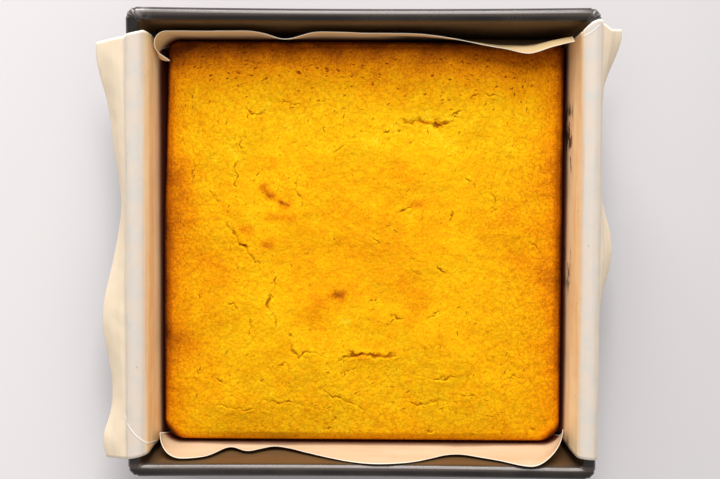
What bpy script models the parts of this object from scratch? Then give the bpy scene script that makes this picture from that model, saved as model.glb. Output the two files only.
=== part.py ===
"""A square cornbread in the pan that it was baked in, on two crossing strips of baking paper.

Metres, +Z up. The origin is the centre of the pan's underside, +Y is the far side of the pan.
"""

import math
from typing import NamedTuple

import bmesh
import bpy
from mathutils import Vector, noise

# Pan: an eight inch square of thin dark sheet steel, its rim rolled over a wire.
SHEET = 0.0009
RIM_HALF = 0.1093
RIM_TOP = 0.0505
BEAD_RADIUS = 0.0032
BEAD_CORNER = 0.0052
RIM_BOW = 0.0008
FLOOR_TOP = 0.0010
FLOOR_HALF = 0.0940
FLOOR_CORNER = 0.0040
RIM_CORNER = 0.0016
PAN_SIDE_STEPS = 6
PAN_CORNER_STEPS = 4
BEAD_STEPS = 7

# Baking paper, with the space kept between one piece and the next.
PAPER = 0.0003
GAP = 0.00035
ACROSS_FLOOR = FLOOR_TOP + GAP + PAPER / 2
ALONG_FLOOR = ACROSS_FLOOR + PAPER + GAP
BREAD_FLOOR = ALONG_FLOOR + PAPER / 2 + GAP

# Strip across the pan: reach from the middle and height, from the floor over the rim.
ACROSS_PATH = (
    (0.0000, ACROSS_FLOOR),
    (0.0420, ACROSS_FLOOR),
    (0.0868, ACROSS_FLOOR),
    (0.0896, 0.0024),
    (0.0916, 0.0049),
    (0.0930, 0.0090),
    (0.0950, 0.0190),
    (0.0964, 0.0290),
    (0.0983, 0.0400),
    (0.0996, 0.0467),
    (0.1007, 0.0498),
    (0.1030, 0.0516),
    (0.1060, 0.0520),
    (0.1086, 0.0506),
    (0.1102, 0.0474),
)
ACROSS_COLUMNS = 16
ACROSS_FLOOR_HALF = 0.0885
ACROSS_RIM_HALF = 0.0985
FLAP_END = 0.0340
FLAP_STEPS = 3
FLAP_SKEW_LEFT = 0.0046
FLAP_SKEW_RIGHT = 0.0022
RIM_FLARE_RIGHT = 0.0045

# Where a flap swings out: place along the rim, spread and amount, about a middle reach.
FLAP_LEFT_REACH = 0.1186
FLAP_LEFT_SWINGS = (
    (0.0900, 0.0150, 0.0070),
    (0.0180, 0.0160, -0.0044),
    (-0.0360, 0.0150, 0.0050),
    (-0.0950, 0.0090, 0.0048),
)
FLAP_RIGHT_REACH = 0.1106
FLAP_RIGHT_SWINGS = (
    (0.0990, 0.0140, 0.0098),
    (-0.0030, 0.0150, 0.0068),
)

# Strip along the pan: reach and height up to where its loose edge begins.
ALONG_PATH = (
    (0.0000, ALONG_FLOOR),
    (0.0430, ALONG_FLOOR),
    (0.0872, ALONG_FLOOR),
    (0.0898, 0.0030),
    (0.0917, 0.0051),
    (0.0930, 0.0090),
    (0.0948, 0.0190),
    (0.0963, 0.0290),
)
ALONG_COLUMNS = 40
COLUMN_CROWDING = 0.14
EDGE_STEPS = 4
EDGE_START = 0.0290
BACK_EDGE_HEIGHT = 0.0440
BACK_EDGE_REACH = 0.0986
FRONT_EDGE_HEIGHT = 0.0450
FRONT_LEAN_REACH = 0.0888
FRONT_LEAN = 0.262
ALONG_HALF_LOW = 0.0825
ALONG_HALF_TURN = 0.0880
TURN_TOP = 0.0090

# How a loose edge leaves its wall on the way up: below 1 it leans in low down.
BACK_EASE = 0.6
FRONT_EASE = 1.3

# Waves of the back edge's reach: place across the pan, spread and amount, outwards positive.
BACK_WAVES = (
    (-0.0360, 0.0065, -0.0036),
    (0.0050, 0.0150, -0.0008),
    (0.0700, 0.0210, -0.0078),
    (0.0775, 0.0045, -0.0013),
)

# Waves of the front edge's height. The front edge rests near the wall.
FRONT_WAVES = (
    (-0.0840, 0.0070, 0.0015),
    (-0.0630, 0.0050, -0.0096),
    (-0.0420, 0.0095, -0.0107),
    (-0.0260, 0.0090, -0.0035),
    (0.0090, 0.0160, 0.0056),
    (0.0440, 0.0090, -0.0052),
    (0.0790, 0.0090, 0.0066),
)


class Curl(NamedTuple):
    """How a corner of the strip along the pan turns inwards, at one height.

    The paper runs straight to start, turns by bend at most on radius, and runs straight again
    until it ends at length from the middle.
    """

    start: float
    radius: float
    length: float
    bend: float = math.radians(100.0)


LOW_CURL = Curl(0.0868, 0.0104, 0.0965)
OPEN_CORNER = (Curl(0.0960, 0.0104, 0.0950), Curl(0.0980, 0.0104, 0.0974))
BACK_LEFT_CORNER = (Curl(0.0862, 0.0100, 0.0965), Curl(0.0910, 0.0058, 0.1110, math.radians(145.0)))
FRONT_LEFT_CORNER = (LOW_CURL, Curl(0.0848, 0.0104, 0.1015))
FRONT_RIGHT_CORNER = (LOW_CURL, Curl(0.0790, 0.0150, 0.1026))
CORNER_TRIM = 0.0040

# Cornbread
BREAD_HALF_X = 0.0946
BREAD_HALF_Y = 0.0949
BREAD_FRONT_CORNER = 0.0100
BREAD_BACK_CORNER = 0.0050
BREAD_BACK_LEFT_SHRINK = 0.0026
BREAD_EDGE_HEIGHT = 0.0334
BREAD_MIDDLE_HEIGHT = 0.0384
BREAD_SIDE = (
    (0.0019, 0.0324),
    (0.0006, 0.0308),
    (0.0000, 0.0280),
    (0.0005, 0.0215),
    (0.0016, 0.0150),
    (0.0030, 0.0090),
    (0.0048, 0.0052),
    (0.0082, BREAD_FLOOR),
)
BREAD_TOP_INSET = 0.0040
BREAD_GRID = 36
SWELL_SIZE = 0.034
SWELL_HEIGHT = 0.0012
LUMP_SIZE = 0.012
LUMP_HEIGHT = 0.0005

# Cracks in the crust: half-width, depth and the places that each one runs through.
CRACKS = (
    (0.0011, 0.0020, ((0.0173, 0.0571), (0.0290, 0.0557), (0.0412, 0.0558), (0.0472, 0.0623))),
    (0.0010, 0.0018, ((-0.0108, -0.0553), (0.0015, -0.0526), (0.0089, -0.0543), (0.0165, -0.0525))),
    (0.0010, 0.0016, ((-0.0634, 0.0093), (-0.0573, -0.0020), (-0.0512, -0.0100))),
    (0.0009, 0.0014, ((-0.0412, -0.0165), (-0.0441, -0.0300), (-0.0408, -0.0398))),
    (0.0008, 0.0012, ((0.0486, 0.0665), (0.0574, 0.0703), (0.0653, 0.0689))),
    (0.0008, 0.0012, ((-0.0591, 0.0390), (-0.0591, 0.0244))),
    (0.0008, 0.0012, ((-0.0341, -0.0483), (-0.0289, -0.0545), (-0.0220, -0.0520))),
    (0.0008, 0.0010, ((-0.0673, -0.0772), (-0.0512, -0.0781), (-0.0289, -0.0769))),
    (0.0008, 0.0010, ((-0.0199, -0.0692), (-0.0094, -0.0744), (0.0020, -0.0810))),
    (0.0008, 0.0010, ((0.0298, -0.0637), (0.0468, -0.0616))),
    (0.0008, 0.0010, ((0.0166, 0.0149), (0.0279, 0.0192))),
)
CRACK_MARGIN = 0.0030
REFINED_CRACKS = 8


def smooth_step(value):
    """Ease from 0 to 1 as value goes from 0 to 1."""
    clamped = min(max(value, 0.0), 1.0)
    return clamped * clamped * (3.0 - 2.0 * clamped)


def blend(start, end, share):
    """Value a share of the way from start to end."""
    return start + (end - start) * share


def bumps(place, waves):
    """Sum of the smooth bumps in waves, each a (centre, spread, amount), at a place."""
    total = 0.0
    for centre, spread, amount in waves:
        total += amount * math.exp(-0.5 * ((place - centre) / spread) ** 2)
    return total


def material(name, colour, roughness, metallic=0.0):
    """Principled material with one colour, roughness and metallic value."""
    finish = bpy.data.materials.new(name)
    finish.use_nodes = True
    shader = finish.node_tree.nodes["Principled BSDF"]
    shader.inputs["Base Color"].default_value = (*colour, 1.0)
    shader.inputs["Roughness"].default_value = roughness
    shader.inputs["Metallic"].default_value = metallic
    return finish


def add_object(name, mesh_builder, finish, collection):
    """Object named name, made from a finished bmesh, in the collection."""
    mesh = bpy.data.meshes.new(name)
    mesh_builder.to_mesh(mesh)
    mesh_builder.free()
    mesh.materials.append(finish)
    mesh.shade_smooth()
    mesh.set_sharp_from_angle(angle=math.radians(40.0))
    made = bpy.data.objects.new(name, mesh)
    collection.objects.link(made)
    return made


def rounded_square(half, corner, bow):
    """Anticlockwise points of a round-cornered square whose sides bow in by bow."""
    straight = half - corner
    quarter_points = []
    for step in range(PAN_SIDE_STEPS):
        along = blend(-straight, straight, step / PAN_SIDE_STEPS)
        quarter_points.append((half - bow * (1.0 - (along / straight) ** 2), along))
    for step in range(PAN_CORNER_STEPS):
        angle = 0.5 * math.pi * step / PAN_CORNER_STEPS
        quarter_points.append((straight + corner * math.cos(angle), straight + corner * math.sin(angle)))
    points = []
    for quarter in range(4):
        turn = 0.5 * math.pi * quarter
        for x, y in quarter_points:
            points.append((x * math.cos(turn) - y * math.sin(turn), x * math.sin(turn) + y * math.cos(turn)))
    return points


def pan_wall_half(height):
    """Half-width of the pan's inner wall at a height."""
    bead_height = RIM_TOP - BEAD_RADIUS
    bead_inner_half = RIM_HALF - 2.0 * BEAD_RADIUS
    return blend(FLOOR_HALF, bead_inner_half, (height - FLOOR_TOP) / (bead_height - FLOOR_TOP))


def pan_wall_corner(height):
    """Plan radius of the pan's inner corner at a height."""
    return blend(FLOOR_CORNER, RIM_CORNER, height / RIM_TOP)


def pan_section():
    """Half-width, height and corner radius round the sheet, from the underside to the floor."""
    rows = [
        (FLOOR_HALF - 0.0028, 0.0, FLOOR_CORNER),
        (FLOOR_HALF - 0.0008, 0.0004, FLOOR_CORNER),
        (FLOOR_HALF + 0.0005, 0.0014, FLOOR_CORNER),
    ]
    for height in (0.0045, 0.0180, 0.0320, 0.0446):
        rows.append((pan_wall_half(height) + SHEET, height, pan_wall_corner(height) + SHEET))
    bead_half = RIM_HALF - BEAD_RADIUS
    bead_height = RIM_TOP - BEAD_RADIUS
    for step in range(BEAD_STEPS + 1):
        angle = math.radians(blend(-135.0, 180.0, step / BEAD_STEPS))
        half = bead_half + BEAD_RADIUS * math.cos(angle)
        corner = max(BEAD_CORNER - (RIM_HALF - half), RIM_CORNER)
        rows.append((half, bead_height + BEAD_RADIUS * math.sin(angle), corner))
    for height in (0.0446, 0.0320, 0.0180, 0.0055):
        rows.append((pan_wall_half(height), height, pan_wall_corner(height)))
    rows.append((FLOOR_HALF - 0.0002, 0.0028, FLOOR_CORNER))
    rows.append((FLOOR_HALF - 0.0013, 0.0014, FLOOR_CORNER))
    rows.append((FLOOR_HALF - 0.0034, FLOOR_TOP, FLOOR_CORNER))
    return rows


def loop_edges(builder, verts):
    """Edges that close a ring of vertices."""
    return [builder.edges.new((verts[i - 1], verts[i])) for i in range(len(verts))]


def build_pan(collection):
    """The pan as one loft of rings, closed by a flat underside and a flat floor."""
    builder = bmesh.new()
    rings = []
    for half, height, corner in pan_section():
        bow = RIM_BOW * height / RIM_TOP
        verts = [builder.verts.new((x, y, height)) for x, y in rounded_square(half, corner, bow)]
        rings.append(loop_edges(builder, verts))
    for lower, upper in zip(rings, rings[1:]):
        bmesh.ops.bridge_loops(builder, edges=lower + upper)
    bmesh.ops.contextual_create(builder, geom=rings[0])
    bmesh.ops.contextual_create(builder, geom=rings[-1])
    bmesh.ops.recalc_face_normals(builder, faces=builder.faces)
    finish = material("dark_nonstick_steel", (0.045, 0.040, 0.038), 0.38, 0.85)
    return add_object("pan", builder, finish, collection)


def sheet_grid(columns, rows):
    """Grid of unit squares that a strip of paper is bent from, each square split in two."""
    builder = bmesh.new()
    bmesh.ops.create_grid(builder, x_segments=columns, y_segments=rows, size=1.0)
    bmesh.ops.triangulate(builder, faces=builder.faces)
    return builder


def add_paper(name, builder, finish, collection):
    """Paper object from a bent grid, given its thickness by Solidify."""
    paper = add_object(name, builder, finish, collection)
    thicken = paper.modifiers.new("thickness", "SOLIDIFY")
    thicken.thickness = PAPER
    thicken.offset = 0.0
    return paper


def path_point(path, index):
    """Reach and height of a path at a whole or fractional index."""
    lower = min(int(index), len(path) - 2)
    share = index - lower
    start, end = path[lower], path[lower + 1]
    return blend(start[0], end[0], share), blend(start[1], end[1], share)


def flap_reach(side, y):
    """Reach of a flap's lower edge, at a place y along the rim."""
    if side < 0:
        return FLAP_LEFT_REACH + bumps(y, FLAP_LEFT_SWINGS)
    return FLAP_RIGHT_REACH + bumps(y, FLAP_RIGHT_SWINGS)


def across_edges(side, height, overhang):
    """Places of the near and the far long edge of the strip across, at a point of its path.

    Overhang goes from 0 on the inner wall to 1 at the flap's end.
    """
    half = blend(ACROSS_FLOOR_HALF, ACROSS_RIM_HALF, min(height / RIM_TOP, 1.0))
    if overhang > 0.0:
        half = ACROSS_RIM_HALF
    if side < 0:
        return -half - FLAP_SKEW_LEFT * overhang, half - FLAP_SKEW_LEFT * overhang
    flare = RIM_FLARE_RIGHT * math.sin(math.pi * min(overhang * 1.4, 1.0)) if overhang > 0.0 else 0.0
    return -half - FLAP_SKEW_RIGHT * overhang, half + flare + FLAP_SKEW_RIGHT * overhang


def across_point(u, v):
    """Point of the strip across the pan, for u along it and v over its width, -1 to 1."""
    side = -1 if u < 0.0 else 1
    last = len(ACROSS_PATH) - 1
    index = abs(u) * (last + FLAP_STEPS)
    rim_index = last - 4
    overhang = max(index - rim_index, 0.0) / (last + FLAP_STEPS - rim_index)
    reach, height = path_point(ACROSS_PATH, min(index, last))
    near, far = across_edges(side, height, overhang)
    y = blend(near, far, 0.5 + 0.5 * v)
    if index > last:
        share = (index - last) / FLAP_STEPS
        reach = blend(reach, flap_reach(side, y), share ** 0.85)
        height = blend(height, FLAP_END, share)
    return Vector((side * reach, y, height))


def build_paper_across(collection):
    """Strip from left to right: under the bread, up both walls, over the rims as flaps."""
    steps = len(ACROSS_PATH) - 1 + FLAP_STEPS
    builder = sheet_grid(2 * steps, ACROSS_COLUMNS)
    for vert in builder.verts:
        vert.co = across_point(vert.co.x, vert.co.y)
    finish = material("baking_paper_across", (0.80, 0.68, 0.53), 0.75)
    return add_paper("paper_across", builder, finish, collection)


def corner_curl(back, right, height, rise):
    """Curl of one corner at a height; rise is 0 where the loose edge begins and 1 at its top."""
    if back:
        low, high = OPEN_CORNER if right else BACK_LEFT_CORNER
    else:
        low, high = FRONT_RIGHT_CORNER if right else FRONT_LEFT_CORNER
    curl = Curl(*(blend(start, end, rise) for start, end in zip(low, high)))
    if height <= TURN_TOP:
        share = smooth_step((height - ALONG_FLOOR) / (TURN_TOP - ALONG_FLOOR))
        return curl._replace(length=blend(ALONG_HALF_LOW, ALONG_HALF_TURN, share))
    share = min((height - TURN_TOP) / (EDGE_START - TURN_TOP), 1.0)
    return curl._replace(length=blend(ALONG_HALF_TURN, curl.length, share))


def loose_edge(back, x):
    """Reach and height of a loose edge of the strip along the pan, at a place across the pan."""
    if back:
        return BACK_EDGE_REACH + bumps(x, BACK_WAVES), BACK_EDGE_HEIGHT
    height = FRONT_EDGE_HEIGHT + bumps(x, FRONT_WAVES)
    return FRONT_LEAN_REACH + FRONT_LEAN * height, height


def along_point(u, v):
    """Point of the strip along the pan, for u over its width and v along it, -1 to 1."""
    back = v > 0.0
    last = len(ALONG_PATH) - 1
    index = abs(v) * (last + EDGE_STEPS)
    reach, height = path_point(ALONG_PATH, min(index, last))
    rise = max(index - last, 0.0) / EDGE_STEPS
    curl = corner_curl(back, u > 0.0, height, rise)
    crowded = abs(u) * (1.0 + COLUMN_CROWDING * (1.0 - u * u))
    length = crowded * curl.length
    past = max(length - curl.start, 0.0)
    turn = min(past / curl.radius, curl.bend)
    past -= turn * curl.radius
    x = min(length, curl.start) + curl.radius * math.sin(turn) + past * math.cos(turn)
    x = math.copysign(x, u)
    edge_reach, edge_height = loose_edge(back, x)
    height = blend(height, edge_height, rise)
    reach = blend(reach, edge_reach, rise ** (BACK_EASE if back else FRONT_EASE))
    reach -= curl.radius * (1.0 - math.cos(turn)) + past * math.sin(turn)
    if u < 0.0:
        height -= CORNER_TRIM * rise * smooth_step((crowded - 0.88) / 0.12)
    return Vector((x, reach if back else -reach, height))


def build_paper_along(collection):
    """Strip from front to back: on the other strip, up both walls, with wavy loose edges."""
    steps = len(ALONG_PATH) - 1 + EDGE_STEPS
    builder = sheet_grid(ALONG_COLUMNS, 2 * steps)
    for vert in builder.verts:
        vert.co = along_point(vert.co.x, vert.co.y)
    finish = material("baking_paper_along", (0.86, 0.63, 0.40), 0.75)
    return add_paper("paper_along", builder, finish, collection)


def bread_plan(u, v, inset):
    """Place in plan of a unit square's point on the bread's outline, drawn in by inset.

    The left side has shrunk away from the pan, more so towards the back.
    """
    ring = max(abs(u), abs(v))
    if ring == 0.0:
        return 0.0, 0.0
    corner = (BREAD_BACK_CORNER if v > 0.0 else BREAD_FRONT_CORNER) / BREAD_HALF_X
    straight = 1.0 - corner
    length = min(abs(u), abs(v)) / ring * (straight + corner * math.pi / 4.0)
    if length <= straight:
        major, minor = 1.0, length
    else:
        angle = (length - straight) / corner
        major, minor = straight + corner * math.cos(angle), straight + corner * math.sin(angle)
    if abs(u) >= abs(v):
        x, y = math.copysign(major, u), math.copysign(minor, v)
    else:
        x, y = math.copysign(minor, u), math.copysign(major, v)
    x, y = x * ring, y * ring
    shrink = BREAD_BACK_LEFT_SHRINK * max(-x, 0.0) * max(y, 0.0)
    return x * (BREAD_HALF_X - inset) + shrink, y * (BREAD_HALF_Y - inset)


def distance_to_run(x, y, places):
    """Distance from a point to a run of straight pieces, and the share along it of the nearest point."""
    nearest = (math.inf, 0.0)
    for index in range(len(places) - 1):
        start, end = Vector(places[index]), Vector(places[index + 1])
        span = end - start
        share = min(max((Vector((x, y)) - start).dot(span) / span.length_squared, 0.0), 1.0)
        distance = (Vector((x, y)) - start - span * share).length
        nearest = min(nearest, (distance, (index + share) / (len(places) - 1)))
    return nearest


def crack_depth(x, y):
    """Depth of the cracks at a place on the crust."""
    depth = 0.0
    for half_width, deepest, places in CRACKS:
        distance, share = distance_to_run(x, y, places)
        taper = math.sin(math.pi * blend(0.12, 0.88, share))
        depth = max(depth, deepest * taper * math.exp(-((distance / half_width) ** 2)))
    return depth


def bread_top(x, y):
    """Height of the domed crust at a place, with its swells, lumps and cracks."""
    across, along = abs(x) / BREAD_HALF_X, abs(y) / BREAD_HALF_Y
    dome = 0.15 * (across ** 2 + along ** 2) + 0.70 * (across ** 6 + along ** 6) ** 0.8
    height = BREAD_MIDDLE_HEIGHT - (BREAD_MIDDLE_HEIGHT - BREAD_EDGE_HEIGHT) * min(dome, 1.1)
    fade = 1.0 - max(across, along) ** 8
    swell = noise.noise(Vector((x, y, 0.0)) / SWELL_SIZE) * SWELL_HEIGHT
    lump = noise.noise(Vector((x, y, 0.1)) / LUMP_SIZE) * LUMP_HEIGHT
    return height + (swell + lump) * fade - crack_depth(x, y)


def refine_cracks(builder, unit):
    """Split the crust's squares along the deepest cracks."""
    for _ in range(2):
        near = set()
        for edge in builder.edges:
            middle = (edge.verts[0][unit] + edge.verts[1][unit]) / 2.0
            x, y = bread_plan(middle.x, middle.y, BREAD_TOP_INSET)
            for _, _, places in CRACKS[:REFINED_CRACKS]:
                if distance_to_run(x, y, places)[0] < CRACK_MARGIN:
                    near.add(edge)
        bmesh.ops.subdivide_edges(builder, edges=list(near), cuts=1, use_grid_fill=True)


def build_cornbread(collection):
    """The uncut loaf: a grid for the crust, its border drawn down as the sides, a flat base."""
    builder = bmesh.new()
    bmesh.ops.create_grid(builder, x_segments=BREAD_GRID, y_segments=BREAD_GRID, size=1.0)
    unit = builder.verts.layers.float_vector.new("unit")
    for vert in builder.verts:
        vert[unit] = vert.co
    refine_cracks(builder, unit)
    border = [edge for edge in builder.edges if edge.is_boundary]
    for vert in builder.verts:
        x, y = bread_plan(vert[unit].x, vert[unit].y, BREAD_TOP_INSET)
        vert.co = (x, y, bread_top(x, y))
    for inset, height in BREAD_SIDE:
        grown = bmesh.ops.extrude_edge_only(builder, edges=border)["geom"]
        border = [item for item in grown if isinstance(item, bmesh.types.BMEdge)]
        for vert in {vert for edge in border for vert in edge.verts}:
            x, y = bread_plan(vert[unit].x, vert[unit].y, inset)
            vert.co = (x, y, height)
    bmesh.ops.contextual_create(builder, geom=border)
    bmesh.ops.triangulate(builder, faces=builder.faces)
    bmesh.ops.recalc_face_normals(builder, faces=builder.faces)
    finish = material("cornbread_crust", (0.86, 0.38, 0.01), 0.8)
    return add_object("cornbread", builder, finish, collection)


def main():
    """Clear the scene and build the four pieces."""
    for leftover in list(bpy.data.objects):
        bpy.data.objects.remove(leftover, do_unlink=True)
    collection = bpy.data.collections.new("cornbread_in_pan")
    bpy.context.scene.collection.children.link(collection)
    build_pan(collection)
    build_paper_across(collection)
    build_paper_along(collection)
    build_cornbread(collection)


main()
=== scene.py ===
"""Looks of a square cornbread in its baking pan, on two crossing strips of baking paper."""

import logging
import math
from dataclasses import astuple, dataclass, field, replace
from enum import Enum

import bmesh
import bpy
import numpy as np
from mathutils import Matrix, Vector, noise


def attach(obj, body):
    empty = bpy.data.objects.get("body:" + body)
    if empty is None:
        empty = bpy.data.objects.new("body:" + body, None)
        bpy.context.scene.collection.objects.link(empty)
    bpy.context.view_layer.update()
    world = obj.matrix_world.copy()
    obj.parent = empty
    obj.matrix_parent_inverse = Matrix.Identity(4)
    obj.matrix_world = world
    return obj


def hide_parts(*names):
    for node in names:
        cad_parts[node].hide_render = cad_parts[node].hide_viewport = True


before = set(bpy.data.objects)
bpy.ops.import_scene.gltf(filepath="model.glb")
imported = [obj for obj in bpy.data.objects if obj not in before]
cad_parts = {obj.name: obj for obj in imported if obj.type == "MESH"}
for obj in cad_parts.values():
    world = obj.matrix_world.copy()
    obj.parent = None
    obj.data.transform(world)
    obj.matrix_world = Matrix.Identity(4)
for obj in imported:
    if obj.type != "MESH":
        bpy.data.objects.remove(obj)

LOG = logging.getLogger("cornbread")
IMAGE_WIDTH = 720

MM = 0.001
RIM_TOP = 50.5 * MM
BREAD_EDGE = 33.4 * MM

Colour = tuple[float, float, float, float]
Pair = tuple[float, float]
Triple = tuple[float, float, float]
Layer = bmesh.types.BMLayerItem


class Side(Enum):
    """Which end of the strip across the pan is meant."""

    LEFT = -1.0
    RIGHT = 1.0


def smooth_step(value: float) -> float:
    """Ease from 0 to 1 as value goes from 0 to 1."""
    clamped = min(max(value, 0.0), 1.0)
    return clamped * clamped * (3.0 - 2.0 * clamped)


def blend(start: float, end: float, share: float) -> float:
    """Value a share of the way from start to end."""
    return start + (end - start) * share


def bumps(place: float, waves: tuple[Triple, ...]) -> float:
    """Sum at a place of smooth bumps, each given by its centre, spread and amount."""
    return sum(amount * math.exp(-0.5 * ((place - centre) / spread) ** 2) for centre, spread, amount in waves)


def smooth_path(path: tuple[Pair, ...], index: float) -> Vector:
    """Point on the smooth curve through a path's points.

    Args:
        path: Points of the path.
        index: Whole or fractional number of the point.

    Returns:
        The point, as a vector of two numbers.
    """
    here = min(int(index), len(path) - 2)
    share = index - here
    start, end = Vector(path[here]), Vector(path[here + 1])
    before = Vector(path[here - 1]) if here > 0 else start * 2.0 - end
    after = Vector(path[here + 2]) if here + 2 < len(path) else end * 2.0 - start
    leave, arrive = (end - before) / 2.0, (after - start) / 2.0
    span = (end - start).length
    leave *= min(1.0, span / max(leave.length, 1e-9))
    arrive *= min(1.0, span / max(arrive.length, 1e-9))
    squared, cubed = share * share, share ** 3
    return (
        start * (2.0 * cubed - 3.0 * squared + 1.0)
        + leave * (cubed - 2.0 * squared + share)
        + end * (3.0 * squared - 2.0 * cubed)
        + arrive * (cubed - squared)
    )


def drawn_on(builder: bmesh.types.BMesh, border: list[bmesh.types.BMEdge]) -> list[bmesh.types.BMEdge]:
    """Extrude a border, and give the edges of the new one."""
    grown = bmesh.ops.extrude_edge_only(builder, edges=border)["geom"]
    return [item for item in grown if isinstance(item, bmesh.types.BMEdge)]


class Wire:
    """Output of a shader node. Python's operators on it add Math nodes."""

    def __init__(self, graph: "Graph", socket: bpy.types.NodeSocket) -> None:
        """Keep the graph and the socket."""
        self.graph = graph
        self.socket = socket

    def __add__(self, other: "Wire | float") -> "Wire":
        """Sum."""
        return self.graph.math("ADD", self, other)

    def __radd__(self, other: float) -> "Wire":
        """Sum, with the number first."""
        return self.graph.math("ADD", other, self)

    def __sub__(self, other: "Wire | float") -> "Wire":
        """Difference."""
        return self.graph.math("SUBTRACT", self, other)

    def __rsub__(self, other: float) -> "Wire":
        """Difference, with the number first."""
        return self.graph.math("SUBTRACT", other, self)

    def __mul__(self, other: "Wire | float") -> "Wire":
        """Product."""
        return self.graph.math("MULTIPLY", self, other)

    def __rmul__(self, other: float) -> "Wire":
        """Product, with the number first."""
        return self.graph.math("MULTIPLY", other, self)

    def __truediv__(self, other: "Wire | float") -> "Wire":
        """Quotient."""
        return self.graph.math("DIVIDE", self, other)

    def __rtruediv__(self, other: float) -> "Wire":
        """Quotient, with the number first."""
        return self.graph.math("DIVIDE", other, self)

    def __pow__(self, other: float) -> "Wire":
        """Power."""
        return self.graph.math("POWER", self, other)

    def __abs__(self) -> "Wire":
        """Distance from zero."""
        return self.graph.math("ABSOLUTE", self)

    def out(self, name: str) -> "Wire":
        """Another output of the same node."""
        return Wire(self.graph, self.socket.node.outputs[name])

    def over(self, low: float, high: float) -> "Wire":
        """Eased mask of this value.

        Args:
            low: Where the mask is 0, which may be the larger value.
            high: Where it is 1.

        Returns:
            The mask.
        """
        return self.graph.node(
            "ShaderNodeMapRange",
            {"interpolation_type": "SMOOTHSTEP"},
            {"Value": self, "From Min": low, "From Max": high},
        )

    def most(self, other: "Wire | float") -> "Wire":
        """The larger of the two."""
        return self.graph.math("MAXIMUM", self, other)

    def clipped(self) -> "Wire":
        """The value held between 0 and 1."""
        return self.graph.math("MINIMUM", self.graph.math("MAXIMUM", self, 0.0), 1.0)


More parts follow.
